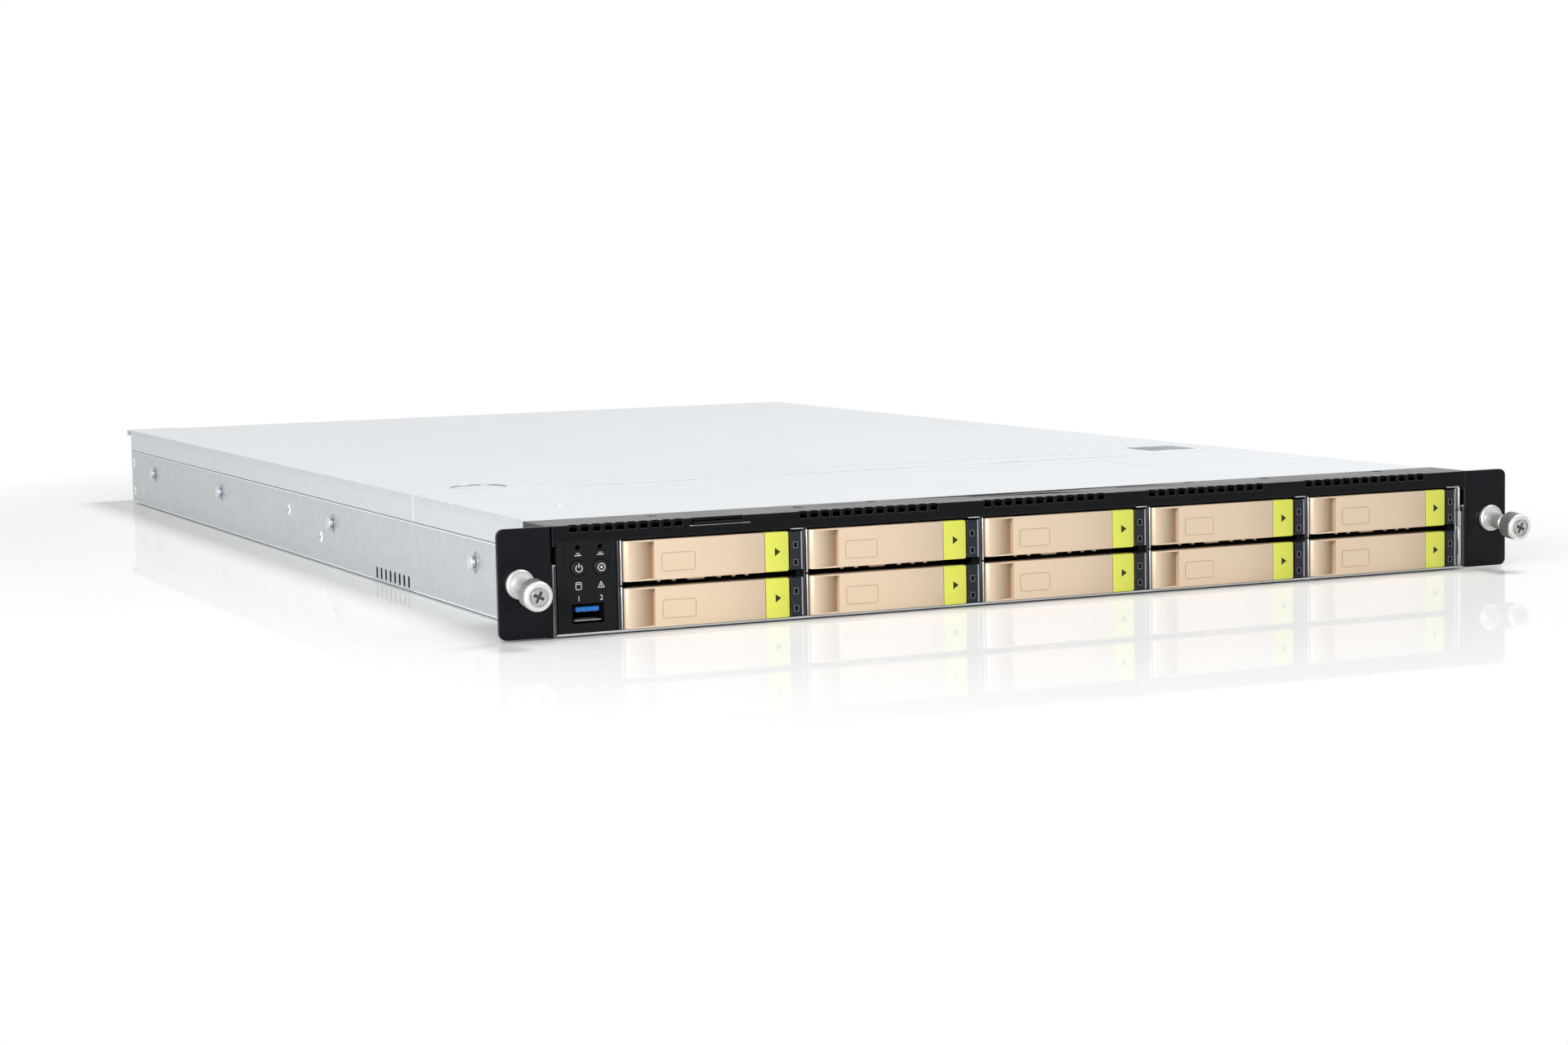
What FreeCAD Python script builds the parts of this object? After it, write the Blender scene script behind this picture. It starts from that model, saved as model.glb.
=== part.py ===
"""One-unit rack server: a steel tray with two lids, ten drive modules, fans, boards and two supplies.

X runs to the right seen from the front, Y from the front to the back and Z up.  The origin is the middle
of the footprint, at the height of the tray's underside.  While it is drawn, every piece measures Y from
the front plane of the rack ears; its placement then moves it back to the origin.
"""
import FreeCAD, Part
import math
import os
from collections import namedtuple

import Sketcher

Vector = FreeCAD.Vector

# ---------------------------------------------------------------------------------------- driving sizes
SIZES = {
    # rack and tray
    "rack_width": 482.6,
    "rack_hole_spacing": 465.1,
    "ear_height": 43.6,
    "ear_plate": 2.0,
    "ear_corner": 3.0,
    "ear_bend": 1.6,
    "ear_return": 58.0,
    "ear_stand_off": 0.2,
    "tray_width": 437.0,
    "tray_depth": 745.0,
    "tray_height": 43.5,
    "tray_sheet": 0.8,
    "wall_sheet": 1.0,
    "lid_sheet": 1.0,
    "lid_gap": 0.2,
    "lid_flange": 12.0,
    "relief_drop": 3.0,
    "side_slot_first": 186.0,
    "side_slot_pitch": 6.9,
    "side_slot_width": 2.5,
    "side_slot_count": 8,
    "side_slot_top": 11.0,
    # lids
    "hood_depth": 27.5,
    "hood_sheet": 1.2,
    "hood_drop": 6.6,
    "hood_cheek": 8.0,
    "hood_rise": 0.1,
    "notch_width": 3.0,
    "notch_pitch": 4.97,
    "notch_height": 2.5,
    "notch_depth": 1.5,
    "front_lid_end": 177.0,
    "lid_seam": 0.8,
    "seam_slot_depth": 1.6,
    "vent_pitch": 5.0,
    "vent_radius": 1.6,
    "vent_count": 58,
    "vent_first": -132.7,
    "vent_line": 204.0,
    "dimple_radius": 13.0,
    "dimple_x": -179.0,
    "dimple_depth": 0.5,
    "latch_cup": 27.0,
    "latch_cup_depth": 9.0,
    "latch_cup_x": 189.5,
    "latch_cup_y": 212.0,
    "lid_latch_thick": 1.5,
    "lid_latch_travel": 1.5,
    "lid_latch_ridge": 2.0,
    "lid_overhang": 4.0,
    "lid_tab_overhang": 10.0,
    "lid_tab_width": 30.0,
    "lid_lip": 3.5,
    # captive thumbscrews
    "screw_height": 21.8,
    "screw_reach": 23.0,
    "screw_head_radius": 6.0,
    "screw_head_length": 8.6,
    "screw_shank_radius": 4.0,
    "screw_thread_radius": 2.5,
    "screw_tail": 5.0,
    "running_gap": 0.1,
    # drive modules
    "bay_count": 5,
    "bay_pitch": 81.13,
    "bay_first": -189.04,
    "row_pitch": 18.85,
    "row_first": 1.0,
    "handle_length": 61.0,
    "handle_height": 16.1,
    "handle_thick": 5.0,
    "handle_proud": 1.0,
    "handle_skin": 1.2,
    "scoop_start": 1.2,
    "scoop_length": 13.1,
    "scoop_depth": 2.9,
    "scoop_undercut": 1.2,
    "scoop_rim": 0.6,
    "scoop_lift": 0.5,
    "hinge_pin_radius": 0.8,
    "hinge_pin_inset": 2.4,
    "hinge_pin_gap": 0.05,
    "hinge_tongue": 6.0,
    "hinge_tongue_half": 1.3,
    "piece_gap": 0.3,
    "latch_length": 10.4,
    "latch_thick": 4.0,
    "latch_corner": 0.9,
    "latch_stem": 6.0,
    "latch_travel": 1.0,
    "strip_start": 72.9,
    "strip_width": 4.3,
    "strip_recess": 1.0,
    "sled_width": 78.3,
    "sled_gap": 0.6,
    "sled_sheet": 0.7,
    "sled_plate": 2.0,
    "sled_wall_height": 7.1,
    "drive_width": 69.85,
    "drive_length": 100.4,
    "drive_height": 14.2,
    # drive cage
    "hem_width": 2.0,
    "hem_gap": 0.5,
    "cage_sheet": 1.0,
    "cage_top": 36.6,
    "cage_depth": 112.0,
    "guide_height": 2.2,
    "guide_reach": 1.0,
    "backplane_thick": 1.6,
    "backplane_gap": 0.6,
    "plug_gap": 2.4,
    "plug_width": 35.0,
    "plug_height": 7.0,
    # control panel
    "panel_width": 24.8,
    "panel_height": 36.0,
    "panel_thick": 2.4,
    "panel_depth": 15.0,
    "panel_recess": 0.3,
    "panel_side_gap": 0.7,
    "panel_wall": 1.4,
    "panel_floor_gap": 0.15,
    "button_radius": 3.1,
    "button_gap": 0.2,
    "button_proud": 0.9,
    "button_stem_radius": 2.0,
    "button_length": 8.0,
    "button_z": 26.5,
    "button_x": 8.9,
    "button_spacing": 9.5,
    "pinhole_radius": 1.15,
    "pinhole_z": 34.7,
    "usb_hole_width": 13.6,
    "usb_hole_height": 7.8,
    "usb_z": 8.4,
    "usb_x": 12.7,
    "usb_shell_width": 13.1,
    "usb_shell_height": 6.6,
    "usb_shell_depth": 14.0,
    "usb_sheet": 0.4,
    "usb_tongue": 1.9,
    "usb_tongue_width": 9.9,
    "io_board_thick": 1.6,
    # information tag
    "tag_x": -148.0,
    "tag_width": 21.5,
    "tag_thick": 0.8,
    "tag_length": 24.0,
    "tag_lip": 1.2,
    "tag_height": 41.2,
    # rail studs
    "stud_radius": 2.0,
    "stud_head_radius": 3.0,
    "stud_length": 1.8,
    "stud_head_thick": 1.2,
    "stud_height": 21.0,
    # fans
    "fan_count": 4,
    "fan_size": 40.0,
    "fan_depth": 38.0,
    "fan_front": 128.0,
    "fan_pitch": 96.0,
    "fan_bore_radius": 18.8,
    "fan_hub_radius": 8.5,
    "fan_tip_gap": 0.8,
    "fan_rotor_gap": 2.0,
    "fan_blade_count": 7,
    "fan_blade_thick": 1.0,
    "fan_blade_span": 11.0,
    "fan_blade_sweep": 3.2,
    "fan_strut": 2.0,
    "fan_shaft_radius": 1.5,
    "fan_shaft_length": 19.0,
    "fan_shaft_gap": 0.05,
    "fan_rail_thick": 1.2,
    # boards
    "board_thick": 1.6,
    "board_height": 6.0,
    "board_front": 190.0,
    "board_end_gap": 2.0,
    "board_side_gap": 6.0,
    "board_pad_radius": 3.0,
    "board_pad_inset": 9.5,
    "heatsink_width": 92.0,
    "heatsink_length": 100.0,
    "heatsink_y": 300.0,
    "heatsink_base": 5.0,
    "heatsink_top": 37.0,
    "fin_thick": 0.9,
    "fin_pitch": 5.05,
    "fin_count": 18,
    "socket_height": 4.0,
    "memory_pitch": 9.5,
    "memory_count": 6,
    "memory_length": 133.35,
    "memory_thick": 1.3,
    "memory_slot_width": 5.2,
    "memory_latch_length": 6.0,
    "memory_top": 38.0,
    "memory_offset": 62.0,
    # back panel and its sockets
    "back_inset": 4.0,
    "port_cell": 16.2,
    "port_height": 14.0,
    "port_wall": 1.8,
    "port_roof": 2.2,
    "port_depth": 19.0,
    "port_reach": 1.4,
    "port_first": -48.0,
    "port_count": 3,
    "port_cavity_depth": 13.0,
    "usb_stack_x": 16.0,
    "usb_stack_width": 15.0,
    "usb_cavity_width": 12.5,
    "usb_cavity_height": 5.1,
    "usb_cavity_depth": 10.0,
    "video_x": 46.0,
    "video_width": 30.0,
    "video_height": 12.0,
    "port_clearance": 0.3,
    "port_plate_margin": 4.0,
    "port_plate_lap": 1.5,
    "bracket_x": 84.0,
    "bracket_width": 120.0,
    "bracket_height": 18.0,
    "bracket_z": 20.0,
    "bracket_thick": 0.9,
    "back_vent_radius": 2.0,
    "back_vent_pitch": 6.0,
    "back_vent_count": 20,
    "back_vent_x": 84.0,
    "back_vent_z": 12.0,
    # power supplies
    "psu_width": 73.5,
    "psu_height": 38.5,
    "psu_length": 185.0,
    "psu_gap": 1.2,
    "psu_side_gap": 1.2,
    "psu_floor_gap": 0.3,
    "psu_overhang": 3.0,
    "inlet_width": 25.0,
    "inlet_height": 17.0,
    "inlet_depth": 16.0,
    "inlet_x": 21.0,
    "grip_reach": 24.0,
    "grip_bar": 4.0,
    "grip_height": 32.0,
    "grip_width": 6.0,
    "grip_x": 44.0,
    "psu_latch_height": 8.0,
    "psu_latch_thick": 3.0,
    "psu_latch_travel": 1.5,
    "psu_latch_x": 60.0,
    "psu_latch_z": 31.0,
}

# ------------------------------------------------------------------------------- document and its sheet
doc = FreeCAD.newDocument("RackServer")
sheet = doc.addObject("Spreadsheet::Sheet", "Sizes")
for row, (alias, amount) in enumerate(SIZES.items(), start=1):
    sheet.set(f"A{row}", alias)
    sheet.set(f"B{row}", str(amount))
    sheet.setAlias(f"B{row}", alias)
doc.recompute()


class Size:
    """A length that carries both its value and the formula that binds it to the sheet."""

    def __init__(self, value, formula):
        self.value = value
        self.formula = formula

    def __add__(self, other):
        return Size(self.value + number(other), f"({self.formula} + {formula(other)})")

    def __radd__(self, other):
        return Size(number(other) + self.value, f"({formula(other)} + {self.formula})")

    def __sub__(self, other):
        return Size(self.value - number(other), f"({self.formula} - {formula(other)})")

    def __rsub__(self, other):
        return Size(number(other) - self.value, f"({formula(other)} - {self.formula})")

    def __mul__(self, other):
        return Size(self.value * number(other), f"({self.formula} * {formula(other)})")

    __rmul__ = __mul__

    def __truediv__(self, other):
        return Size(self.value / number(other), f"({self.formula} / {formula(other)})")

    def __neg__(self):
        return Size(-self.value, f"(-({self.formula}))")


def number(quantity):
    """The plain value of a size or a number."""
    return quantity.value if isinstance(quantity, Size) else float(quantity)


def formula(quantity):
    """The sheet formula of a size or a number."""
    return quantity.formula if isinstance(quantity, Size) else repr(float(quantity))


def size(alias):
    """The size that the sheet holds under a name."""
    return Size(float(sheet.get(alias)), f"Sizes.{alias}")


def bind(item, prop, quantity):
    """Set a property from a size and keep it bound to the sheet."""
    item.setExpression(prop, formula(quantity))


# --------------------------------------------------------------------------------------- drawing helpers
Arc = namedtuple("Arc", "radius centre_left")
Circle = namedtuple("Circle", "x y radius")
CENTRE_POINT = 3
START_POINT = 1
END_POINT = 2
ORIGIN_POINT = (-1, 1)
HALF_CIRCLE = 0.9999
OVERSHOOT = 1.0
PIN_FLATS = 8
END_FLATS = 6
SHANK_SIDES = 16
HEAD_SIDES = 24


def rectangle(x0, x1, y0, y1, corner=None):
    """Outline of a rectangle, with its corners rounded where a radius is given."""
    corners = [(x0, y0), (x1, y0), (x1, y1), (x0, y1)]
    return corners if corner is None else [(x, y, corner) for x, y in corners]


def polygon(x, y, radius, sides=6):
    """Outline of a regular polygon that stands on a corner."""
    turns = [2 * math.pi * (side + 0.5) / sides for side in range(sides)]
    return [(x + radius * math.cos(turn), y + radius * math.sin(turn)) for turn in turns]


def heading(start, end):
    """Unit direction of an axis-parallel edge."""
    dx, dy = number(end[0]) - number(start[0]), number(end[1]) - number(start[1])
    length = math.hypot(dx, dy)
    return round(dx / length), round(dy / length)


def rounded_corners(outline):
    """Replace each corner that has a radius by its two tangent points with an arc between them."""
    points = [item for item in outline if not isinstance(item, Arc)]
    path = []
    for item in outline:
        if isinstance(item, Arc) or len(item) == 2:
            path.append(item)
            continue
        index = points.index(item)
        x, y, radius = item
        before, after = heading(points[index - 1], item), heading(item, points[(index + 1) % len(points)])
        path.append((x - before[0] * radius, y - before[1] * radius))
        path.append(Arc(radius, before[0] * after[1] - before[1] * after[0] > 0))
        path.append((x + after[0] * radius, y + after[1] * radius))
    return path


def arc_geometry(start, end, arc):
    """The arc between two points, and whether it runs from its own start point to the end given."""
    p, q = (Vector(number(x), number(y), 0) for x, y in (start, end))
    chord = q - p
    radius = number(arc.radius)
    rise = math.sqrt(max(radius ** 2 - (chord.Length / 2) ** 2, 0))
    normal = Vector(-chord.y, chord.x, 0).normalize()
    centre = (p + q) / 2 + normal * (rise if arc.centre_left else -rise)
    first, last = (p, q) if arc.centre_left else (q, p)
    turns = [math.atan2(end_point.y - centre.y, end_point.x - centre.x) for end_point in (first, last)]
    circle = Part.Circle(centre, Vector(0, 0, 1), radius)
    return Part.ArcOfCircle(circle, turns[0], turns[1]), arc.centre_left


def arc_hold(edge, start, end, arc):
    """What settles an arc between held points: its radius or, for a half circle, its centre on the chord."""
    dx, dy = number(end[0]) - number(start[0]), number(end[1]) - number(start[1])
    if math.hypot(dx, dy) < 2 * number(arc.radius) * HALF_CIRCLE:
        return Sketcher.Constraint("Radius", edge, number(arc.radius)), arc.radius
    kind, level = ("DistanceX", start[0]) if abs(dx) < abs(dy) else ("DistanceY", start[1])
    return Sketcher.Constraint(kind, *ORIGIN_POINT, edge, CENTRE_POINT, number(level)), level


def add_outline(sketch, outline):
    """Draw a closed outline of straight edges and arcs, every point held by its own two distances."""
    path = rounded_corners(outline)
    points = [item for item in path if not isinstance(item, Arc)]
    arcs, index = {}, -1
    for item in path:
        if isinstance(item, Arc):
            arcs[index] = item
        else:
            index += 1
    edges, constraints, bound = [], [], []
    for index, start in enumerate(points):
        end = points[(index + 1) % len(points)]
        if index in arcs:
            geometry, forward = arc_geometry(start, end, arcs[index])
        else:
            geometry = Part.LineSegment(Vector(*map(number, start), 0), Vector(*map(number, end), 0))
            forward = True
        edge = sketch.addGeometry(geometry, False)
        edges.append((edge, START_POINT, END_POINT) if forward else (edge, END_POINT, START_POINT))
    for index, (edge, first, last) in enumerate(edges):
        following, joint, _ = edges[(index + 1) % len(edges)]
        constraints.append(Sketcher.Constraint("Coincident", edge, last, following, joint))
        bound.append(None)
        for kind, quantity in zip(("DistanceX", "DistanceY"), points[index]):
            constraints.append(Sketcher.Constraint(kind, *ORIGIN_POINT, edge, first, number(quantity)))
            bound.append(quantity)
        if index in arcs:
            end = points[(index + 1) % len(points)]
            constraint, quantity = arc_hold(edge, points[index], end, arcs[index])
            constraints.append(constraint)
            bound.append(quantity)
    bind_constraints(sketch, constraints, bound)


def add_circle(sketch, circle):
    """Draw a full circle held by its centre and radius."""
    centre = Vector(number(circle.x), number(circle.y), 0)
    edge = sketch.addGeometry(Part.Circle(centre, Vector(0, 0, 1), number(circle.radius)), False)
    place_x = Sketcher.Constraint("DistanceX", *ORIGIN_POINT, edge, CENTRE_POINT, centre.x)
    place_y = Sketcher.Constraint("DistanceY", *ORIGIN_POINT, edge, CENTRE_POINT, centre.y)
    radius = Sketcher.Constraint("Radius", edge, number(circle.radius))
    bind_constraints(sketch, [place_x, place_y, radius], [circle.x, circle.y, circle.radius])


def bind_constraints(sketch, constraints, quantities):
    """Add constraints and tie those that come from sizes to the sheet."""
    first = sketch.ConstraintCount
    sketch.addConstraint(constraints)
    for offset, quantity in enumerate(quantities):
        if isinstance(quantity, Size):
            bind(sketch, f"Constraints[{first + offset}]", quantity)


def origin_feature(body, role):
    """The plane or axis of a body's origin that has a role."""
    return next(item for item in body.Origin.OriginFeatures if item.Role == role)


def new_body(label):
    body = doc.addObject("PartDesign::Body", label)
    body.Label = label
    return body


def draw(body, plane, start, outlines):
    """A sketch parallel to one of the body's own planes, at a distance along that plane's axis."""
    sketch = body.newObject("Sketcher::SketchObject", f"{body.Name}_outline")
    sketch.AttachmentSupport = (origin_feature(body, f"{plane}_Plane"), [""])
    sketch.MapMode = "FlatFace"
    bind(sketch, ".AttachmentOffset.Base.z", -start if plane == "XZ" else start)
    for outline in outlines:
        if isinstance(outline, Circle):
            add_circle(sketch, outline)
        else:
            add_outline(sketch, outline)
    return sketch


def extrude(body, plane, start, length, *outlines, cut=False):
    """Add, or cut away, the outlines carried from start along the plane's own axis."""
    sketch = draw(body, plane, start, outlines)
    kind = "Pocket" if cut else "Pad"
    feature = body.newObject(f"PartDesign::{kind}", f"{body.Name}_{kind.lower()}")
    feature.Profile = sketch
    bind(feature, "Length", length)
    feature.Reversed = (plane == "XZ") != cut
    sketch.Visibility = False
    return feature


def cut(body, plane, start, length, *outlines):
    return extrude(body, plane, start, length, *outlines, cut=True)


def turned_stack(body, start, *steps):
    """Steps of a turned piece along Y, each a many-sided prism with a radius, a length and a side count."""
    for radius, length, sides in steps:
        extrude(body, "XZ", start, length, polygon(0, 0, radius, sides))
        start = start + length


def repeat(body, feature, axis, pitch, count):
    """Copy a feature along an axis of the body, a pitch apart."""
    pattern = body.newObject("PartDesign::LinearPattern", f"{body.Name}_row")
    pattern.Originals = [feature]
    pattern.Direction = (origin_feature(body, f"{axis}_Axis"), [""])
    bind(pattern, "Length", pitch * (count - 1))
    bind(pattern, "Occurrences", count)
    body.Tip = pattern
    return pattern


def turn_copies(body, feature, axis, count):
    """Copy a feature round an axis of the body."""
    pattern = body.newObject("PartDesign::PolarPattern", f"{body.Name}_ring")
    pattern.Originals = [feature]
    pattern.Axis = (origin_feature(body, f"{axis}_Axis"), [""])
    pattern.Angle = 360
    bind(pattern, "Occurrences", count)
    body.Tip = pattern
    return pattern


# --------------------------------------------------------------------------------------- shared places
HALF_TRAY = size("tray_width") / 2
TRAY_TOP = size("tray_height")
TRAY_END = size("tray_depth")
REACH_FRONT = size("screw_reach")
LID_UNDER = TRAY_TOP - size("lid_sheet")
SEAM_HEIGHT = TRAY_TOP - size("lid_flange")
INNER_WALL = HALF_TRAY - size("wall_sheet") - size("lid_gap")
INSIDE_X = INNER_WALL - size("wall_sheet")
REAR_LID_START = size("front_lid_end") + size("lid_seam")
BACK_FACE = TRAY_END - size("back_inset")
REACH_BACK = BACK_FACE + size("psu_overhang") + size("grip_reach")
ORIGIN_FROM_FRONT = (REACH_BACK - REACH_FRONT) / 2
SHELL_FRONT = size("handle_thick") - size("handle_proud")
SLED_FRONT = SHELL_FRONT + size("sled_gap")
HINGE_X = size("handle_thick") / 2
HINGE_Y = SHELL_FRONT - HINGE_X
CAGE_LEFT = size("bay_first") - size("hem_gap") - size("hem_width")
CAGE_FRONT = size("hood_sheet") + size("piece_gap")
PANEL_LEFT = -HALF_TRAY + size("wall_sheet") + size("panel_side_gap")
FAN_AXIS_Z = size("tray_sheet") + size("fan_size") / 2
BOARD_TOP = size("board_height") + size("board_thick")
PSU_LEFT = -INSIDE_X + size("psu_side_gap")
PSU_FRONT = BACK_FACE + size("psu_overhang") - size("psu_length")
PSU_Z = size("tray_sheet") + size("psu_floor_gap")
PSU_BACK = PSU_FRONT + size("psu_length")
PORT_FACE = BACK_FACE + size("wall_sheet") + size("port_reach")
PORT_FRONT = PORT_FACE - size("port_depth")
PANEL_TOP = LID_UNDER - size("lid_gap") * 2


def place(item, x=0, z=0):
    """Move a finished piece from the drawing plane to its seat in the server."""
    bind(item, ".Placement.Base.x", x)
    bind(item, ".Placement.Base.y", -ORIGIN_FROM_FRONT)
    bind(item, ".Placement.Base.z", z)
    return item


# --------------------------------------------------------------------------------------- tray and lids
def base_pan():
    """Folded steel tray; its walls step in by one sheet under the lids' side flanges."""
    body = new_body("base_pan")
    floor, wall = size("tray_sheet"), size("wall_sheet")
    step, top = SEAM_HEIGHT - size("lid_gap"), LID_UNDER - size("lid_gap")
    outline = [
        (-HALF_TRAY, 0), (HALF_TRAY, 0), (HALF_TRAY, step), (INNER_WALL, step), (INNER_WALL, top),
        (INSIDE_X, top), (INSIDE_X, step - wall), (HALF_TRAY - wall, step - wall), (HALF_TRAY - wall, floor),
        (wall - HALF_TRAY, floor), (wall - HALF_TRAY, step - wall), (-INSIDE_X, step - wall),
        (-INSIDE_X, top), (-INNER_WALL, top), (-INNER_WALL, step), (-HALF_TRAY, step),
    ]
    extrude(body, "XZ", 0, TRAY_END, outline)
    relief_bottom = step - size("relief_drop")
    front_relief = rectangle(-OVERSHOOT, size("hood_depth"), relief_bottom, TRAY_TOP)
    cut(body, "YZ", -HALF_TRAY - OVERSHOOT, size("tray_width") + OVERSHOOT * 2, front_relief)
    slot_end = size("side_slot_first") + size("side_slot_width")
    slot = rectangle(size("side_slot_first"), slot_end, -OVERSHOOT, size("side_slot_top"))
    first_slot = cut(body, "YZ", -HALF_TRAY - OVERSHOOT, wall + OVERSHOOT * 2, slot)
    repeat(body, first_slot, "Y", size("side_slot_pitch"), size("side_slot_count"))
    return place(body)


def lid_section(top):
    """Cross-section of a lid: a flat top with a flange down each side."""
    sheet_thick = size("lid_sheet")
    inner, under = HALF_TRAY - sheet_thick, top - sheet_thick
    return [
        (-HALF_TRAY, SEAM_HEIGHT), (sheet_thick - HALF_TRAY, SEAM_HEIGHT), (sheet_thick - HALF_TRAY, under),
        (inner, under), (inner, SEAM_HEIGHT), (HALF_TRAY, SEAM_HEIGHT), (HALF_TRAY, top), (-HALF_TRAY, top),
    ]


def front_cover():
    """Fixed lid over the drive cage, from the hood's back edge to the seam."""
    body = new_body("front_cover")
    start = size("hood_depth") + size("lid_gap")
    extrude(body, "XZ", start, size("front_lid_end") - start, lid_section(TRAY_TOP))
    return place(body)


SEAM_SLOTS = ((-215.6, -210.6), (-145.2, -70.9), (-37.4, 38.7), (72.7, 145.3))


def rear_cover():
    """Sliding lid with a row of vents, a finger dimple, a latch cup and a turned-down rear lip.

    The side flanges are solids of their own that meet the top along the fold.
    """
    top, flanges = new_body("rear_cover_top"), new_body("rear_cover_flanges")
    sheet_thick, lip, length = size("lid_sheet"), size("lid_lip"), TRAY_END - REAR_LID_START
    fold = HALF_TRAY - sheet_thick
    extrude(top, "XZ", REAR_LID_START, length, rectangle(-fold, fold, LID_UNDER, TRAY_TOP))
    sides = [rectangle(left, left + sheet_thick, SEAM_HEIGHT, TRAY_TOP) for left in (-HALF_TRAY, fold)]
    extrude(flanges, "XZ", REAR_LID_START, length, *sides)
    back, tab_back = TRAY_END + size("lid_overhang"), TRAY_END + size("lid_tab_overhang")
    tab_right = size("lid_tab_width") - HALF_TRAY
    rear_edge = [
        (-HALF_TRAY, TRAY_END), (HALF_TRAY, TRAY_END), (HALF_TRAY, back), (tab_right, back),
        (tab_right, tab_back), (-HALF_TRAY, tab_back),
    ]
    extrude(top, "XY", LID_UNDER, sheet_thick, rear_edge)
    for left, right, end in ((tab_right, HALF_TRAY, back), (-HALF_TRAY, tab_right, tab_back)):
        extrude(top, "XZ", end - sheet_thick, sheet_thick, rectangle(left, right, TRAY_TOP - lip, TRAY_TOP))
    cup, x, y = size("latch_cup"), size("latch_cup_x"), size("latch_cup_y")
    wall, bottom = cup / 2 + sheet_thick, TRAY_TOP - size("latch_cup_depth")
    extrude(top, "XY", bottom, LID_UNDER - bottom, rectangle(x - wall, x + wall, y - wall, y + wall))
    seam = [rectangle(left, right, REAR_LID_START - OVERSHOOT, REAR_LID_START + size("seam_slot_depth"))
            for left, right in SEAM_SLOTS]
    below, through = LID_UNDER - OVERSHOOT, sheet_thick + OVERSHOOT * 2
    cut(top, "XY", below, through, *seam)
    inside = rectangle(x - cup / 2, x + cup / 2, y - cup / 2, y + cup / 2)
    cut(top, "XY", bottom + sheet_thick, size("latch_cup_depth") + OVERSHOOT, inside)
    finger = polygon(size("dimple_x"), size("vent_line"), size("dimple_radius"), HEAD_SIDES)
    cut(top, "XY", TRAY_TOP - size("dimple_depth"), size("dimple_depth") + OVERSHOOT, finger)
    hole = polygon(size("vent_first"), size("vent_line"), size("vent_radius"))
    first_vent = cut(top, "XY", below, through, hole)
    repeat(top, first_vent, "X", size("vent_pitch"), size("vent_count"))
    lid = doc.addObject("Part::Compound", "rear_cover")
    lid.Label = "rear_cover"
    lid.Links = [top, flanges]
    return place(lid)


def cover_latch():
    """Finger catch at the bottom of the lid's cup; it is pressed down to free the lid."""
    body = new_body("cover_latch")
    gap, cup = size("piece_gap"), size("latch_cup")
    x, y = size("latch_cup_x"), size("latch_cup_y")
    half, thick = cup / 2 - gap, size("lid_latch_thick")
    bottom = TRAY_TOP - size("latch_cup_depth") + size("lid_sheet") + size("lid_latch_travel") + gap
    extrude(body, "XY", bottom, thick, rectangle(x - half, x + half, y - half, y + half / 3))
    ridge_back = y - half + size("lid_latch_ridge") * 2
    ridge = rectangle(x - half / 2, x + half / 2, ridge_back - size("lid_latch_ridge"), ridge_back)
    extrude(body, "XY", bottom + thick, size("lid_sheet"), ridge)
    return place(body)


NOTCH_GROUPS = ((-209.6, 10), (-110.0, 13), (-25.1, 12), (54.8, 12), (135.0, 13))


def bezel_hood():
    """Black front hood: a folded top plate with a notched front edge, a slot for the tag and two cheeks."""
    body = new_body("bezel_hood")
    top, thick = TRAY_TOP + size("hood_rise"), size("hood_sheet")
    section = [
        (0, top - size("hood_drop")), (thick, top - size("hood_drop")), (thick, top - thick),
        (size("hood_depth"), top - thick), (size("hood_depth"), top), (0, top),
    ]
    extrude(body, "YZ", -HALF_TRAY, size("tray_width"), section)
    for left in (-HALF_TRAY, HALF_TRAY - thick):
        cheek = rectangle(0, size("hood_depth"), top - size("hood_cheek"), top - thick)
        extrude(body, "YZ", left, thick, cheek)
    shelf_half = size("tag_width") / 2 + size("piece_gap") * 2
    shelf_top = size("tag_height") - size("piece_gap")
    shelf = rectangle(size("tag_x") - shelf_half, size("tag_x") + shelf_half, thick, size("tag_length"))
    extrude(body, "XY", shelf_top - size("tag_thick"), size("tag_thick"), shelf)
    half, depth = size("notch_width") / 2, size("notch_depth")
    for first, count in NOTCH_GROUPS:
        outline = rectangle(first - half, first + half, top - size("notch_height"), top + OVERSHOOT)
        notch = cut(body, "XZ", -OVERSHOOT, depth + OVERSHOOT, outline)
        repeat(body, notch, "X", size("notch_pitch"), Size(count, str(count)))
    tag_slot = rectangle(size("tag_x") - shelf_half, size("tag_x") + shelf_half, shelf_top, top + OVERSHOOT)
    cut(body, "XZ", -OVERSHOOT, depth + OVERSHOOT, tag_slot)
    return place(body)


def info_tag():
    """Thin pull-out card under the hood, with a lip to pull it by."""
    body = new_body("info_tag")
    x, half, z = size("tag_x"), size("tag_width") / 2, size("tag_height")
    card = rectangle(x - half, x + half, -size("tag_lip"), size("tag_length"))
    extrude(body, "XY", z, size("tag_thick"), card)
    return place(body)


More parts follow.
